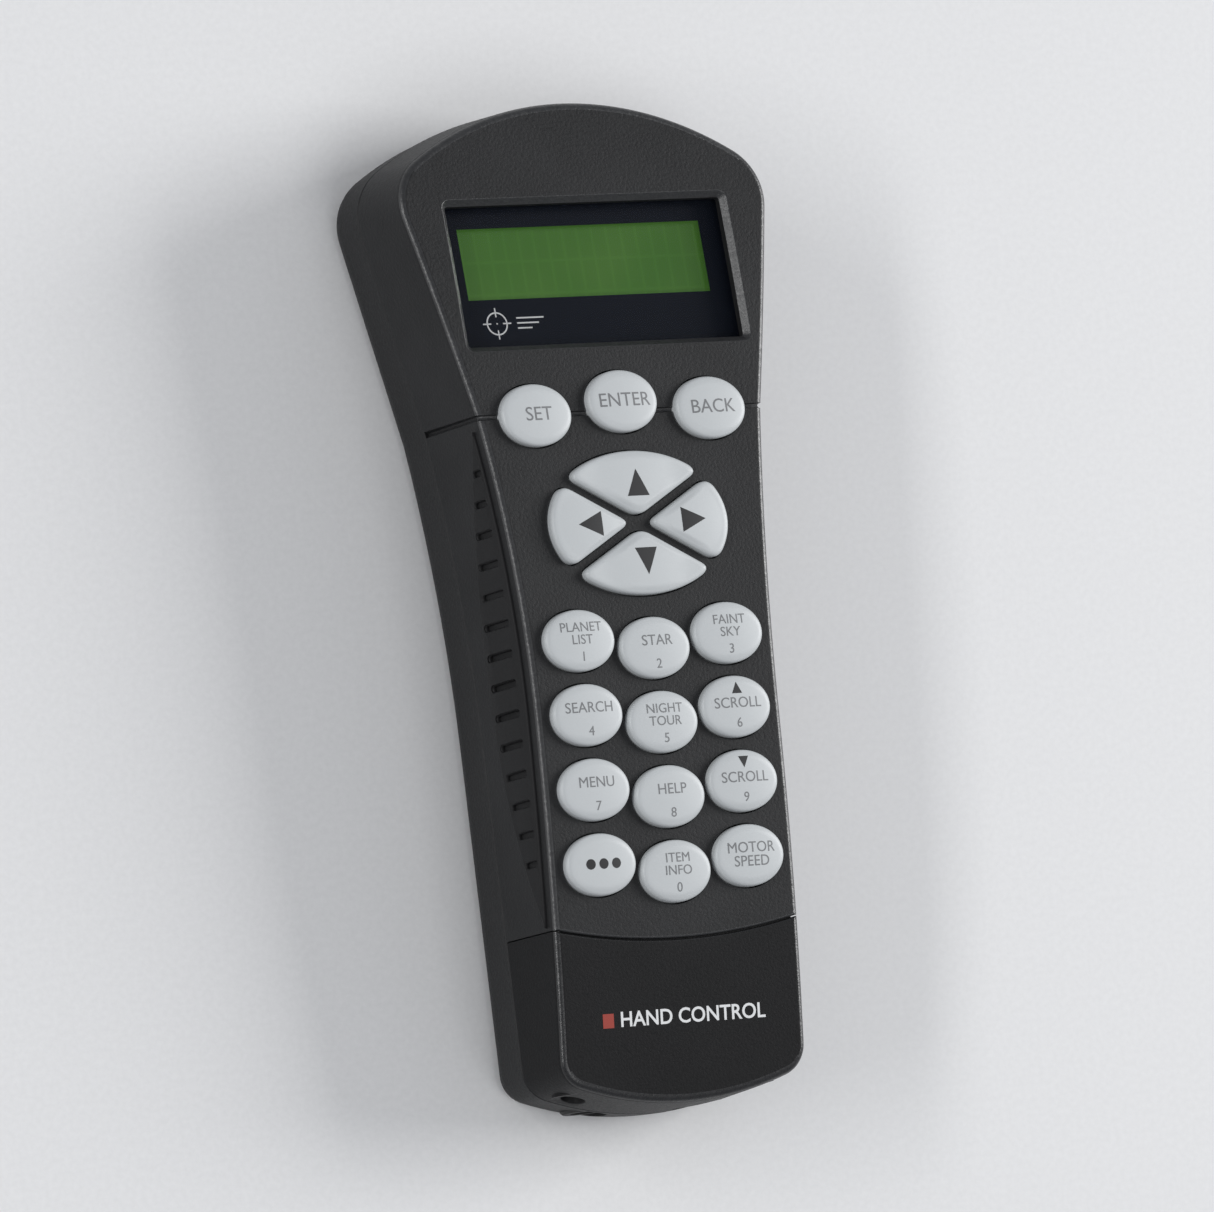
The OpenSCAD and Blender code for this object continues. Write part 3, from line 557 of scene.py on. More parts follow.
def pad_slice(which):
    """Outline of one key of the four-way pad, about the pad's centre, counter-clockwise."""
    a, b = PAD_W / 2, PAD_L / 2
    t = radians(PAD_ANGLE)
    bar = np.array([cos(t), sin(t)])
    upright = which in ("up", "down")
    inward = np.array([-bar[1], bar[0]]) * (1 if upright else -1)
    o = PAD_WEB / 2 * inward
    qa = (bar[0] / a) ** 2 + (bar[1] / b) ** 2
    qb = o[0] * bar[0] / a ** 2 + o[1] * bar[1] / b ** 2
    qc = (o[0] / a) ** 2 + (o[1] / b) ** 2 - 1
    end = o + (sqrt(qb * qb - qa * qc) - qb) / qa * bar
    tip = np.array([0, PAD_WEB / 2 / bar[0]]) if upright else np.array([PAD_WEB / 2 / bar[1], 0])
    soft = 2.2      # how far the corners' rounding reaches
    start = atan2(end[1] / b, end[0] / a) + radians(8 if upright else -8)
    mid = pi / 2 if upright else 0.0

    def on_oval(s):
        return (a * cos(s), b * sin(s))

    cut = tip + soft * bar
    nose = (tip + cut) / 2
    on_axis = (0, nose[1]) if upright else (nose[0], 0)
    half = (bend(on_axis, nose, cut, 6)[1:] + bend(end - soft * bar, end, on_oval(start), 9)
            + [on_oval(start + (mid - start) * i / 15.5) for i in range(1, 16)])
    if upright:
        pts = half + [(-x, y) for x, y in reversed(half)]
    else:
        pts = [(x, -y) for x, y in half] + half[::-1]
    if which == "down":
        pts = [(x, -y) for x, y in reversed(pts)]
    if which == "left":
        pts = [(-x, y) for x, y in reversed(pts)]
    return resample(pts, 96)


# ---------------- keys
KEYS = [n for n in frame["nodes"] if n.startswith("key_") and n != "key_contacts"]
PAD_KEYS = ("up", "down", "left", "right")


def box_mm(node):
    """A CAD node's lowest corner, its size and its centre, in millimetres."""
    lo, hi = (np.array(c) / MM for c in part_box(node))
    return lo, hi - lo, (lo + hi) / 2


PAD_C = 0.0, (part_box("key_up")[0][1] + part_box("key_down")[1][1]) / 2 / MM
# Centre of each key of the pad, from the pad's centre
PAD_MID = {"up": (0, 7.6), "down": (0, -7.6), "left": (-11.4, 0), "right": (11.4, 0)}
TOP_KEYS = ("key_align", "key_enter", "key_back")
TOP_KEY_L, KEY_L = 12.1, 11.8


def key_outline(node):
    """Centre of a key and its outline about that centre."""
    short = node[4:]
    if short in PAD_KEYS:
        mx, my = PAD_MID[short]
        pts = [(x - mx, y - my) for x, y in pad_slice(short)]
        return (PAD_C[0] + mx, PAD_C[1] + my), pts
    length = TOP_KEY_L if node in TOP_KEYS else KEY_L
    return box_mm(node)[2][:2], oval(KEY_W / 2, length / 2)


def key_top(c, mean_r, x, y):
    """Height of a key's domed top."""
    reach = min(1.0, hypot(x - c[0], y - c[1]) / mean_r)
    return crown(y) + KEY_RISE + KEY_DOME * (1 - reach ** 2)


def mean_radius(pts):
    return sum(hypot(x, y) for x, y in pts) / len(pts)


# Inset and height above the face of each ring round a key's edge
KEY_EDGE = [(0.0, -2.0), (0.0, 0.55), (0.03, 0.85), (0.12, 1.1), (0.28, 1.32), (0.5, 1.48), (0.8, 1.6)]


def build_key(node):
    """A key: plunger, flange under the face, rounded edge and domed top."""
    c, pts = key_outline(node)
    mean_r = mean_radius(pts)
    foot = box_mm(node)[0][2]
    shoulder = crown(abs(c[1]) + 8) - SKIN - 1.4
    start, n = atan2(pts[0][1], pts[0][0]), len(pts)
    turns = [start + 2 * pi * i / n for i in range(n)]
    plunger = [(PLUNGER_R * cos(t), PLUNGER_R * sin(t)) for t in turns]
    rings = [[(c[0] + x, c[1] + y, level) for x, y in outline]
             for outline, level in ((plunger, foot), (plunger, shoulder), (pts, shoulder))]
    for inset, rise in KEY_EDGE:
        moved = offset(pts, -inset)
        rings.append([(c[0] + x, c[1] + y, crown(c[1] + y) + rise) for x, y in moved])
    inner = offset(pts, -KEY_EDGE[-1][0])
    for k in (0.92, 0.82, 0.68, 0.5, 0.3, 0.12):
        ring_pts = [(c[0] + x * k, c[1] + y * k) for x, y in inner]
        rings.append([(x, y, key_top(c, mean_r, x, y)) for x, y in ring_pts])
    obj = closed(node + "_cap", rings, MATERIALS["key"])
    soften(obj, 50)
    place(obj, node, "key", node)


# ---------------- case
# Inset and depth below the face of the rings that round the face's edge
FACE_EDGE = [(0.0, 1.5), (0.02, 1.15), (0.1, 0.82), (0.26, 0.5), (0.5, 0.26), (0.82, 0.09),
             (1.15, 0.015), (1.5, 0.0)]


def front_solid():
    """Everything above the parting line, before it is split at the seam and hollowed."""
    rings = [ring(0.25 - DRAFT, PARTING_Z, False), ring(-DRAFT, PARTING_Z + 0.3, False)]
    rings += [ring(i, d, True) for i, d in FACE_EDGE]
    hollow = [ring(WALL - DRAFT, PARTING_Z - 1, False), ring(WALL, SKIN + 1, True),
              ring(WALL + 1, SKIN, True)]
    return boolean(case_solid("front_casing", rings, MATERIALS["shell"]), case_solid("hollow", hollow))


def rim_cutter(outline_at, to_place, round_r, depth=8.0, clear=3.0):
    """Cutter through a surface that leaves a rounded rim.

    outline_at takes the outline's growth, and to_place a point of it and its rise above the surface.
    """
    steps = [(0.0, -depth), (0.0, -round_r)]
    steps += [(round_r * (1 - cos(t)), -round_r * (1 - sin(t)))
              for t in map(radians, (30, 55, 75))]
    steps += [(round_r * 1.02, 0.02), (round_r * 1.02, clear)]
    return closed("cutter", [[to_place(u, v, rise) for u, v in outline_at(g)] for g, rise in steps])


def on_crown(c):
    """Places outline points about c on the face."""
    return lambda u, v, rise: (c[0] + u, c[1] + v, crown(c[1] + v) + rise)


TILT = asin(DISPLAY_Y / CROWN_R)


def in_display(u, v, w):
    """From the display's tilted frame, whose XY plane touches the face, to the case's frame."""
    return (u, DISPLAY_Y + v * cos(TILT) + w * sin(TILT),
            crown(DISPLAY_Y) - v * sin(TILT) + w * cos(TILT))


def on_display(u, v, rise):
    """Like in_display, but measured from the crowned face itself."""
    return in_display(u, v, rise - v * v / (2 * CROWN_R))


def foot_y(x, z):
    """Outer face of the bottom end."""
    drafted = DRAFT * (1 - max(0.0, (z - PARTING_Z) / (CASE_H - PARTING_Z)))
    return FOOT_R - HALF_L - sqrt(FOOT_R ** 2 - x * x) - drafted


def on_foot(c):
    """Places outline points about c, given as x and z, on the bottom end."""
    return lambda u, v, rise: (c[0] - u, foot_y(c[0] - u, c[1] + v) - rise, c[1] + v)


def turned(name, profile, c, along="Z", n=40):
    """Solid of revolution about c. The profile is pairs of radius and place along the axis."""
    turns = [2 * pi * (i + 0.3) / n for i in range(n)]
    rings = [[(c[0] + r * cos(t), c[1] + r * sin(t), h) for t in turns] for r, h in profile]
    if along == "Y":
        rings = [[(x, h, z) for x, z, h in circle] for circle in rings]
    return closed(name, rings)


def block(name, low, high):
    (a, b, c), (d, e, f) = low, high
    return closed(name, [[(x, y, z) for x, y in box(a, d, b, e)] for z in (c, f)])


def key_cutters():
    """Cutters for the key holes, in two lots so that neighbours don't touch."""
    lots = [[], []]
    for node in KEYS:
        c, pts = key_outline(node)
        short = node[4:]
        outline_at = lambda g: offset(pts, KEY_GAP + g)
        central = abs(c[0]) < 1 and short not in PAD_KEYS
        lots[central or short in ("left", "right")].append(rim_cutter(outline_at, on_crown(c), 0.22))
    return [join(lot) for lot in lots]


def box(x0, x1, y0, y1):
    return [(x0, y0), (x1, y0), (x1, y1), (x0, y1)]


def rounded_box(w, l, r, grow, n=6):
    """Outline of a rectangle with rounded corners."""
    pts = []
    w, l, r = w / 2 + grow, l / 2 + grow, r + grow
    for cx, cy, a in ((w - r, l - r, 0), (r - w, l - r, 90), (r - w, r - l, 180), (w - r, r - l, 270)):
        for i in range(n + 1):
            t = radians(a + 90 * i / n)
            pts.append((cx + r * cos(t), cy + r * sin(t)))
    return pts


def split_sides(pts, step=2.0):
    """Adds points along the straight runs of an outline, so that it can follow the crown."""
    out = []
    for i, a in enumerate(pts):
        b = pts[(i + 1) % len(pts)]
        n = max(1, round(dist(a, b) / step))
        out += [(a[0] + (b[0] - a[0]) * k / n, a[1] + (b[1] - a[1]) * k / n) for k in range(n)]
    return out


def on_seam(r, t):
    """Point at radius r and angle t of the circle that the seam lies on."""
    return r * sin(t), SEAM_LOW_Y + SEAM_R - r * cos(t)


def seam_cutter(r_from, r_to):
    """Solid between two arcs of the seam's circle, tall enough to pass through the case."""
    span, n = radians(24), 60
    turns = [-span + 2 * span * i / n for i in range(n + 1)]
    pts = [on_seam(r_from, t) for t in turns] + [on_seam(r_to, t) for t in reversed(turns)]
    return closed("seam", [[(x, y, z) for x, y in pts] for z in (PARTING_Z - 3, CASE_H + 5)])


def seam_edge_cutter(radius, away):
    """Rounds the top edge at the seam: away is 1 for the head's side and -1 for the cover's."""
    span, n, r, clear = radians(15), 60, 0.5, 0.6
    bend_turns = map(radians, (0, 25, 50, 70))
    profile = [(clear, clear), (clear, -r)]
    profile += [(-r * (1 - cos(t)), -r * (1 - sin(t))) for t in bend_turns]
    profile += [(-r, 0.01), (-r, clear)]
    rings = []
    for i in range(n + 1):
        spots = [(*on_seam(radius + away * u, -span + 2 * span * i / n), h) for u, h in profile]
        rings.append([(x, y, crown(y) + h) for x, y, h in spots])
    return closed("seam_edge", rings)


def groove_cutter():
    """Shallow round-bottomed groove across the face and down both sides."""
    y0, w, d = GROOVE_Y + 0.5, 0.55, 0.6
    x = side_x(y0)
    z = crown(y0)
    right = [(x - 1.3, z, 0, 1), (x - 0.35, z - 0.35, 0.7, 0.7), (x, z - 1.3, 1, 0),
             (x + 0.2, PARTING_Z - 2, 1, 0)]
    path = [(-px, pz, -nx, nz) for px, pz, nx, nz in reversed(right)] + right
    profile = [(-w - 0.15, 0.8), (-w, 0.0), (-w * 0.55, -d * 0.8), (0, -d), (w * 0.55, -d * 0.8),
               (w, 0.0), (w + 0.15, 0.8)]
    return closed("groove", [[(px + nx * h, y0 + u, pz + nz * h) for u, h in profile]
                             for px, pz, nx, nz in path])


def window_cutter():
    """Opening over the display, with a sloped border."""
    steps = [(0.0, -9.0), (0.0, -1.15), (1.0, -0.16), (1.1, -0.05), (1.25, 0.02), (1.25, 3.0)]
    edge = lambda grow: split_sides(rounded_box(WINDOW_W, WINDOW_L, 0.6, grow))
    return closed("window", [[on_display(u, v, rise) for u, v in edge(grow)] for grow, rise in steps])


def lens_depth(y):
    """Height of the grip's lens shape, which hangs from its shelf."""
    r = (LENS_HALF ** 2 + LENS_SAG ** 2) / (2 * LENS_SAG)
    return sqrt(max(0.0, r * r - (y - LENS_Y) ** 2)) - r + LENS_SAG


def wall_x(y, z):
    """Outer face of the side wall, with its draft."""
    top = crown(y) - FACE_EDGE[0][1]
    return side_x(y) + DRAFT * (1 - max(0.0, min(1.0, (z - PARTING_Z) / (top - PARTING_Z))))


def lens_outline(grow=0.0, n=48):
    """The grip's outline as (y, z), counter-clockwise seen from the right."""
    ys = [LENS_Y - LENS_HALF + 2 * LENS_HALF * i / n for i in range(n + 1)]
    low = [(y, crown(y) - LENS_SHELF - lens_depth(y)) for y in ys]
    high = [(y, crown(y) - LENS_SHELF) for y in reversed(ys[1:-1])]
    return offset(low + high, grow)


def side_solid(pts, side, steps, name="seat", material=None):
    """Solid through copies of a (y, z) outline. steps are its growth and place out of the side wall."""
    rings = [[(side * (wall_x(y, z) + out), y, z) for y, z in offset(pts, grow)] for grow, out in steps]
    return closed(name, rings, material)


def slot_cutter(side, y):
    """Slot with round ends and a rounded rim across the grip."""
    high, depth, w, pts = crown(y) - LENS_SHELF, lens_depth(y), SLOT_W / 2, []
    for z, a in ((high - depth * SLOT_END - w, 0), (high - depth * (1 - SLOT_END) + w, 180)):
        pts += [(y + w * cos(radians(a + t)), z + w * sin(radians(a + t)))
                for t in range(0, 181, 30)]
    return side_solid(pts, side, [(0.0, -0.1), (0.0, 0.3), (0.1, 0.5), (0.25, 0.62), (0.25, 2.0)])


def build_grip(side, node):
    """Rubber insert in one side wall."""
    steps = [(0.0, -1.15), (0.0, 0.25), (-0.06, 0.42), (-0.2, 0.55), (-0.42, 0.6)]
    obj = side_solid(lens_outline(), side, steps, node + "_pad", MATERIALS["grip"])
    slots = [slot_cutter(side, SLOT_FIRST_Y - i * SLOT_PITCH) for i in range(SLOT_N)]
    boolean(obj, join(slots))
    bm = bmesh.new()
    bm.from_mesh(obj.data)
    drop_slivers(bm)
    bm.to_mesh(obj.data)
    bm.free()
    soften(obj, 40)
    place(obj, "case", "grip", node)


def boss(p):
    """Screw boss and a rib to the nearest side wall."""
    x0, x1 = sorted((p[0], copysign(side_x(p[1]) - WALL + 0.5, p[0])))
    profile = [(BOSS_R, PARTING_Z), (BOSS_R, BOSS_TOP - 0.4), (BOSS_R - BOSS_CHAMFER, BOSS_TOP)]
    return [turned("boss", profile, p),
            block("rib", (x0, p[1] - RIB_HALF, PARTING_Z), (x1, p[1] + RIB_HALF, BOSS_TOP - 0.3))]


def pilots(spots):
    """Countersunk holes that the screws bite into."""
    profile = [(1.6, PARTING_Z - 1), (1.6, PARTING_Z), (PILOT_R, PARTING_Z + 0.4),
               (PILOT_R, BOSS_TOP - 3)]
    return join([turned("pilot", profile, p) for p in spots])


def add_bosses(obj, spots):
    """Screw bosses and their ribs on the inside of a shell."""
    parts = [q for p in spots for q in boss(p)]
    boolean(obj, join(parts[0::2]), "UNION")
    boolean(obj, join(parts[1::2]), "UNION")


def build_front(front):
    """Cuts the upper case half out of the whole front."""
    boolean(front, seam_cutter(SEAM_R, SEAM_R + 60))
    boolean(front, seam_edge_cutter(SEAM_R, 1))
    boolean(front, lap_tongue(0.08))
    for lot in key_cutters():
        boolean(front, lot)
    boolean(front, window_cutter())
    boolean(front, groove_cutter())
    for side in (-1, 1):
        boolean(front, side_solid(lens_outline(0.05), side, [(0.0, -1.2), (0.0, 3.0)]))
    add_bosses(front, CASE_SCREWS)
    for p in BOARD_SCREWS:
        profile = [(POST_R, BOARD_TOP), (POST_R, crown(p[1]) - SKIN / 2)]
        boolean(front, turned("post", profile, p, n=32), "UNION")
    seat = rounded_box(PANE_W + 0.4, PANE_L + 0.4, 0.8, 0)
    seat = [[in_display(u, v, w) for u, v in seat] for w in (-SKIN - 0.2, -20.0)]
    boolean(front, closed("recess", seat))
    boolean(front, pilots(CASE_SCREWS))
    profile = [(PILOT_R, BOARD_TOP - 1), (PILOT_R, BOSS_TOP)]
    boolean(front, join([turned("pilot", profile, p) for p in BOARD_SCREWS]))
    crown_normals(front)
    place(front, "case", "shell", "front_shell")


def build_cover(cover):
    """Cuts the end cover out of the whole front."""
    boolean(cover, seam_cutter(SEAM_R - 190, SEAM_R + SEAM_GAP))
    boolean(cover, seam_edge_cutter(SEAM_R + SEAM_GAP, -1))
    boolean(cover, lap_tongue(), "UNION")
    add_bosses(cover, COVER_SCREWS)
    mouth = foot_y(PEG_X, PEG_Z)
    pegs = [(s * PEG_X, PEG_Z) for s in (-1, 1)]
    profile = [(4.0, mouth + 0.9), (4.0, mouth + PEG_DEPTH + 1.2), (3.7, mouth + PEG_DEPTH + 1.5)]
    boolean(cover, join([turned("tube", profile, c, "Y") for c in pegs]), "UNION")
    boolean(cover, pilots(COVER_SCREWS))
    outline_at = lambda grow: offset(oval(PEG_R, PEG_R, 48), grow)
    boolean(cover, join([rim_cutter(outline_at, on_foot(c), 0.35, PEG_DEPTH) for c in pegs]))
    boolean(cover, jack_mouth())
    crown_normals(cover)
    place(cover, "case", "cover", "end_cover")


def lap_tongue(grow=0.0):
    """Lip of the cover that reaches under the rebated edge of the front shell and closes the seam."""
    i = 1.0 - grow
    lip = case_solid("lip", [ring(i - DRAFT, PARTING_Z + 0.5 - grow, False), ring(i, 1.4 - grow, True),
                             ring(i + 0.5, 0.9 - grow, True)])
    i = WALL + 1.0 + grow
    inner = [ring(i - DRAFT, PARTING_Z - 1, False), ring(i, SKIN + 1.6 + grow, True),
             ring(i + 0.8, SKIN + 1.0 + grow, True)]
    boolean(lip, case_solid("inner", inner))
    return boolean(lip, seam_cutter(SEAM_R - 2.2 - grow, SEAM_R + 3.0), "INTERSECT")


def jack_mouth():
    """Hole in the bottom end round the data jack."""
    _, size, mid = box_mm("data_jack")
    outline_at = lambda grow: rounded_box(size[0] + 0.2, size[2] + 0.2, 0.3, grow)
    return rim_cutter(outline_at, on_foot(mid[::2]), 0.3, 6.0)


def gland_seat():
    """Stepped hole round the cord gland."""
    lo, size, mid = box_mm("cord_gland")
    wide, front, back = size[0] / 2 + 0.1, lo[1], lo[1] + size[1]
    narrow, c = wide - 0.9, mid[::2]
    return turned("gland_seat", [(wide, front - 10), (wide, front + 0.9), (narrow, front + 0.9),
                                 (narrow, back - 1.3), (wide, back - 1.3), (wide, back + 1)], c, "Y")


# Inset and height of the rings of the rear shell's outside
REAR_EDGE = [(3.0, 0.0), (2.45, 0.1), (1.95, 0.28), (1.5, 0.52), (1.0, 0.98), (0.6, 1.6), (0.3, 2.4),
             (0.1, 3.2), (0.0, 4.0), (-DRAFT * 0.97, PARTING_Z - 0.3), (0.25 - DRAFT, PARTING_Z)]
# Radius and height of a screw's sink, from the back
SINK = [(3.05, -1), (3.05, 0), (2.86, 0.09), (2.75, 0.3), (2.75, 3.2), (1.35, 3.2), (1.35, 14)]


def build_rear():
    """The rear shell and the type plate in its recess."""
    rear = case_solid("rear_casing", [ring(i, z, False) for i, z in REAR_EDGE], MATERIALS["rear"])
    boolean(rear, case_solid("hollow", [ring(4.6, WALL, False), ring(WALL + 0.3, 4.4, False),
                                        ring(WALL - DRAFT, PARTING_Z + 1, False)]))
    spots = CASE_SCREWS + COVER_SCREWS
    tube = [(3.75, WALL - 1), (3.75, PARTING_Z - 0.01)]
    boolean(rear, join([turned("tube", tube, p) for p in spots]), "UNION")
    w, y0 = HANGER_R + 0.5, HANGER_Y - HANGER_R - 0.5
    y1 = y0 + HANGER_RUN + 2 * HANGER_R - 2
    top = WALL + HANGER_H
    t = 1.4     # thickness of the pocket's walls
    boolean(rear, block("wall", (-w - t, y0 - t, WALL - 0.5), (w + t, y1 + t, top + t)), "UNION")
    boolean(rear, join([turned("sink", SINK, p) for p in spots]))
    boolean(rear, block("pocket", (-w, y0, WALL), (w, y1, top)))
    boolean(rear, rim_cutter(keyhole, lambda u, v, rise: (-u, v, -rise), 0.35, WALL + 0.5))
    boolean(rear, gland_seat())
    boolean(rear, jack_mouth())
    lo, size, mid = box_mm("rear_label")
    seat = rounded_box(size[0] + 0.4, size[1] + 0.4, 1.7, 0)
    boolean(rear, closed("recess", [[(x, mid[1] + y, z) for x, y in seat] for z in (-1, 0.3)]))
    soften(rear)
    mark_rims(rear)
    place(rear, "case", "rear", "rear_shell")
    steps = ((-0.03, lo[2]), (0.0, lo[2] + 0.03), (0.0, 0.29))
    label = [[(x, mid[1] + y, z) for x, y in rounded_box(*size[:2], 1.5, g)] for g, z in steps]
    label = closed("rear_label_plate", label, MATERIALS["label"])
    soften(label)
    place(label, "case", "label", "rear_label")


def build_label_border():
    """Thin printed frame and three plain field lines on the rear label, and no wording."""
    lo, (w, l, _), mid = box_mm("rear_label")
    hoop = [rounded_box(w - 3, l - 3, 1.2, grow) for grow in (0, -0.3)]
    lines = [[(x, y + 9.0 * k) for x, y in rounded_box(w - 9, 0.3, 0.1, 0)] for k in (-1, 0, 1)]
    to_place = lambda u, v, h: (u, mid[1] + v, lo[2] + PRINT_SINK - h)
    place(shape("rear_label_print", lines, to_place, 0.02, hoops=[hoop]), "case", "label")


def build_jack_contacts():
    """Six sprung wires that slope down into the data jack's throat."""
    lo, _, mid = box_mm("data_jack")
    roof, pitch, section = lo[2] + 7.4, 1.02, box(-0.22, 0.22, -0.15, 0.05)
    path = [(12.6, -0.05), (9.5, -0.3), (4.5, -2.3), (3.6, -2.2)]      # depth in the throat, and drop
    wires = [closed("wire", [[(mid[0] + (k - 2.5) * pitch + a, lo[1] + y, roof + z + b)
                              for a, b in section] for y, z in path]) for k in range(6)]
    obj = join(wires)
    obj.name = obj.data.name = "data_jack_contacts"
    obj.data.materials.append(MATERIALS["pins"])
    place(obj, "case", "pins")


def keyhole(grow):
    """Outline of the hanger's round entry and neck, mirrored as seen from behind."""
    half, turn = HANGER_NECK / 2, asin(HANGER_NECK / 2 / HANGER_R)
    end = HANGER_Y + HANGER_RUN
    corner = [(half, end - 0.5), (half - 0.15, end - 0.15), (half - 0.5, end)]
    pts = corner + [(-x, y) for x, y in reversed(corner)]
    pts += [(HANGER_R * cos(t), HANGER_Y + HANGER_R * sin(t))
            for t in np.linspace(pi / 2 + turn, 2.5 * pi - turn, 40)]
    return offset(pts, grow)


def build_case():
    front = front_solid()
    cover = linked("end_cover_casing", front.data.copy())
    cover.data.materials[0] = MATERIALS["cover"]
    build_front(front)
    build_cover(cover)
    build_rear()
    build_grip(-1, "grip_left")
    build_grip(1, "grip_right")


# ---------------- printing
def printed(name, words, to_place, thick=0.03, bold=0.0, material="print_grey"):
    """Text as a thin solid. words are (text, x, y, size) in the frame that to_place maps from."""
    parts = []
    for text, x, y, size in words:
        curve = bpy.data.curves.new(name, "FONT")
        curve.body, curve.size, curve.extrude = text, size * MM, thick / 2 * MM
        curve.align_x, curve.align_y, curve.offset, curve.resolution_u = "CENTER", "CENTER", bold * MM, 4
        obj = linked(name, curve)
        mesh = bpy.data.meshes.new_from_object(obj.evaluated_get(bpy.context.evaluated_depsgraph_get()))
        bpy.data.objects.remove(obj)
        mesh.transform(Matrix.Translation(Vector((x, y, thick / 2)) * MM))
        parts.append(linked(name, mesh))
    return lay_print(join(parts), name, to_place, material)


def shape(name, outlines, to_place, thick=0.03, material="print_dark", hoops=()):
    """Flat printed shapes as thin solids: closed outlines, and hoops as pairs of outlines."""
    parts = [closed(name, [[(x, y, h) for x, y in pts] for h in (0.0, thick)]) for pts in outlines]
    for outer, inner in hoops:
        edges = ((outer, 0.0), (outer, thick), (inner, thick), (inner, 0.0))
        verts = [(x, y, h) for pts, h in edges for x, y in pts]
        parts.append(recalc(make(name, verts, bands(len(outer), 4, True))))
    return lay_print(join(parts), name, to_place, material)


def lay_print(obj, name, to_place, material):
    """Divides a flat print finely and lays it on the surface that to_place maps to."""
    bm = bmesh.new()
    bm.from_mesh(obj.data)
    bmesh.ops.remove_doubles(bm, verts=bm.verts, dist=1e-7)
    drop_slivers(bm)
    for _ in range(4):
        bmesh.ops.triangulate(bm, faces=bm.faces)
        wide = [e for e in bm.edges if e.calc_length() > PRINT_STEP * MM]
        if not wide:
            break
        bmesh.ops.subdivide_edges(bm, edges=wide, cuts=1)
    bmesh.ops.triangulate(bm, faces=bm.faces)
    for v in bm.verts:
        v.co = Vector(to_place(*(v.co / MM))) * MM
    outwards(bm)
    bm.to_mesh(obj.data)
    bm.free()
    obj.data.materials.clear()
    obj.data.materials.append(MATERIALS[material])
    obj.name = obj.data.name = name
    return obj


# Words of each key, from top to bottom, and its digit
LEGENDS = {
    "key_align": (["SET"], ""), "key_enter": (["ENTER"], ""), "key_back": (["BACK"], ""),
    "key_1": (["PLANET", "LIST"], "1"), "key_2": (["STAR"], "2"), "key_3": (["FAINT", "SKY"], "3"),
    "key_4": (["SEARCH"], "4"), "key_5": (["NIGHT", "TOUR"], "5"), "key_6": (["SCROLL"], "6"),
    "key_7": (["MENU"], "7"), "key_8": (["HELP"], "8"), "key_9": (["SCROLL"], "9"),
    "key_0": (["ITEM", "INFO"], "0"), "key_speed": (["MOTOR", "SPEED"], ""),
}


def legend_words(lines, digit):
    """Places a key's words and digit: (text, x, y, size)."""
    if not digit:
        size = 3.8 if len(lines) == 1 else 2.9
        return [(t, 0, (len(lines) - 1) * 1.3 - 2.6 * i, size) for i, t in enumerate(lines)]
    first, size = (2.35, 2.6) if len(lines) == 2 else (0.5 if lines == ["SCROLL"] else 1.2, 2.9)
    return [(t, 0, first - 2.4 * i, size) for i, t in enumerate(lines)] + [(digit, 0, -3.3, 2.6)]


def turn_about(pts, turn, y=0.0):
    """Points turned about the origin and moved up by y."""
    c, s = cos(turn), sin(turn)
    return [(u * c - v * s, y + u * s + v * c) for u, v in pts]


def triangle(w, h):
    return [(-w / 2, -h / 2), (w / 2, -h / 2), (0, h / 2)]


def on_key(node):
    c, pts = key_outline(node)
    mean_r = mean_radius(pts)
    return lambda u, v, h: (c[0] + u, c[1] + v, key_top(c, mean_r, c[0] + u, c[1] + v) + h - PRINT_SINK)


# Size, turn and height of each arrow
ARROWS = {"key_up": (4.8, 5.2, 0.0, 0.0), "key_down": (4.8, 5.2, pi, 0.0),
          "key_left": (4.8, 5.2, pi / 2, 0.0), "key_right": (4.8, 5.2, -pi / 2, 0.0),
          "key_6": (2.2, 2.2, 0.0, 3.45), "key_9": (2.2, 2.2, pi, 3.45)}


def build_legends():
    """Words, digits, arrows and dots on the keys."""
    for node, (lines, digit) in LEGENDS.items():
        place(printed(node + "_legend", legend_words(lines, digit), on_key(node)), node, "key")
    for node, (w, h, turn, y) in ARROWS.items():
        arrow = turn_about(triangle(w, h), turn, y)
        place(shape(node + "_arrow", [arrow], on_key(node)), node, "key")
    dots = [[(2.8 * k + x, y) for x, y in oval(1, 1, 24)] for k in (-1, 0, 1)]
    node = "key_option"
    place(shape("key_option_dots", dots, on_key(node)), node, "key")


def build_display():
    """The window's pane, and the reticle and bars printed under it."""
    top = -SKIN - 0.4
    steps = ((0.15, 0.0), (0.0, 0.15), (0.0, PANE_T - 0.1), (0.1, PANE_T))
    outline_at = lambda inset: rounded_box(PANE_W, PANE_L, 0.8, -inset)
    pane = [[in_display(u, v, top - drop) for u, v in outline_at(inset)] for inset, drop in steps]
    pane = closed("window_pane", pane, MATERIALS["window"])
    soften(pane)
    place(pane, "case", "window", "display_window")
    under = lambda u, v, h: in_display(u - 21.5, v - 8.6, top - 1.5 + h)
    marks = [rounded_box(0.28, 0.28, 0.05, 0)]
    marks += [turn_about(box(1.3, 3.1, -0.13, 0.13), k * pi / 2) for k in range(4)]
    marks += [box(4.4, end, y - 0.14, y + 0.14) for y, end in ((1.0, 10.4), (0.0, 9.2), (-1.0, 7.6))]
    icon = shape("window_icon", marks, under, 0.02, "print_white", [(oval(2.3, 2.3), oval(2.02, 2.02))])
    place(icon, "case", "mask")


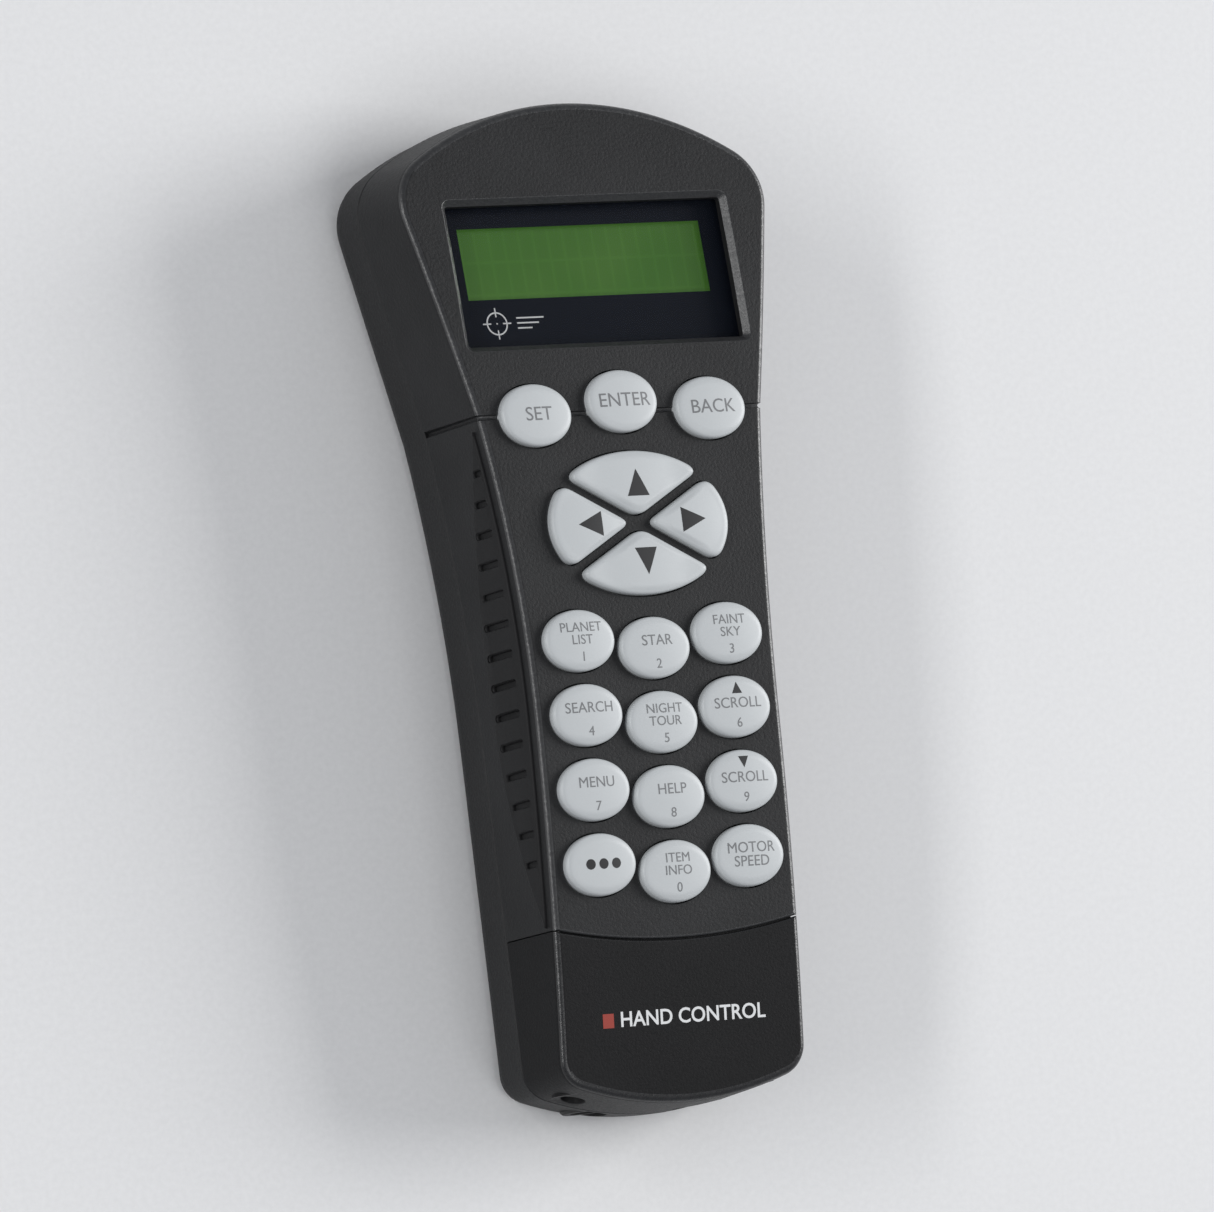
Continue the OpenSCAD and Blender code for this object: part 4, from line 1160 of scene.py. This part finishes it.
def build_cover_mark():
    """Plain words and a plain red square on the end cover."""
    base = lambda u, v, h: (u, v + MARK_Y, crown(v + MARK_Y) + h - PRINT_SINK)
    words = [("HAND CONTROL", 2.2, 0, 4.0)]
    place(printed("cover_wording", words, base, bold=0.06, material="print_white"), "case", "cover")
    square = [box(-17.6, -15.2, -1.35, 1.35)]
    place(shape("cover_red_bar", square, base, material="print_red"), "case", "cover")


# ---------------- other CAD nodes
NODE_MATERIAL = {s["node"]: s["material_slot"] for s in frame["record"]["subparts"]}

# Width of the softened edges of pieces that keep their CAD shape, mm
SOFT_EDGES = {"data_jack": 0.2, "cord_gland": 0.15, "case_screws": 0.08, "board_screws": 0.08,
              "cord_header": 0.15, "capacitors": 0.3, "crystal": 0.3, "processor": 0.1,
              "memory_chip": 0.1, "power_regulator": 0.1, "lcd_bezel": 0.1, "lcd_spacers": 0.1,
              "main_board": 0.08, "lcd_board": 0.08}


def dress_nodes():
    """Gives each CAD node its material, and soft edges where it has sharp ones that show."""
    for name, obj in frame["nodes"].items():
        slot = NODE_MATERIAL[name]
        obj.data.materials.clear()
        obj.data.materials.append(MATERIALS[slot])
        if name in SOFT_EDGES:
            mod = obj.modifiers.new("edges", "BEVEL")
            mod.width, mod.segments, mod.limit_method = SOFT_EDGES[name] * MM, 2, "ANGLE"
            mod.angle_limit = radians(40)
            mod.harden_normals = True


# ---------------- stage
def build_floor():
    m = Nodes("floor_paper")
    fibre = m.noise(1.2, 3.0)
    m.color(m.ramp(fibre, [(0.3, (0.78, 0.78, 0.78)), (0.7, (0.82, 0.82, 0.82))]))
    m.rough(m.remap(fibre, 0.3, 0.7, 0.7, 0.85))
    m.bump(fibre, 0.2, 0.02)
    half, level = 3000.0, -0.1
    corners = [(x, y, level) for x, y in box(-half, half, -half, half)]
    floor = make("floor", corners, [(0, 1, 2, 3)], m.mat)


def aim(obj, eye, target, up):
    """Points an object's -Z at target, with its +Y as near to up as can be."""
    back = (Vector(eye) - Vector(target)).normalized()
    right = Vector(up).cross(back).normalized()
    rise = back.cross(right)
    obj.matrix_world = Matrix.Translation(eye) @ Matrix((right, rise, back)).transposed().to_4x4()


def build_camera():
    data = bpy.data.cameras.new("camera")
    data.lens, data.sensor_width = 436.0, 36.0
    data.clip_start, data.clip_end = 0.1, 50.0
    cam = linked("camera", data)
    aim(cam, (-1.423, -0.319, 2.4155), (0.0, 0.0, 0.018), (0.062, 0.989, 0.132))
    bpy.context.scene.camera = cam


def area(name, eye, target, size, power, size_y=None):
    """A soft rectangular light."""
    data = bpy.data.lights.new(name, "AREA")
    data.shape = "RECTANGLE"
    data.size, data.size_y, data.energy = size, size_y or size, power
    aim(linked(name, data), eye, target, (0.0, 1.0, 0.05))


def build_lights():
    world = bpy.data.worlds.new("studio")
    world.use_nodes = True
    sky = world.node_tree.nodes["Background"].inputs
    sky["Color"].default_value, sky["Strength"].default_value = (0.9, 0.93, 1.0, 1), 0.34
    bpy.context.scene.world = world
    area("key_light", (1.9, 0.25, 0.95), (0, 0, 0), 1.0, 33)
    area("edge_light", (-1.6, 0.25, 0.95), (0, 0, 0.02), 0.22, 14, 1.4)
    area("top_light", (0.1, -1.0, 2.2), (0, 0, 0), 1.2, 9)


build_materials()
build_camera()
build_lights()
build_floor()
dress_nodes()
build_case()
for key_node in KEYS:
    build_key(key_node)
build_legends()
build_display()
build_cover_mark()
build_label_border()
build_jack_contacts()

bpy.context.scene.view_settings.view_transform = "Standard"
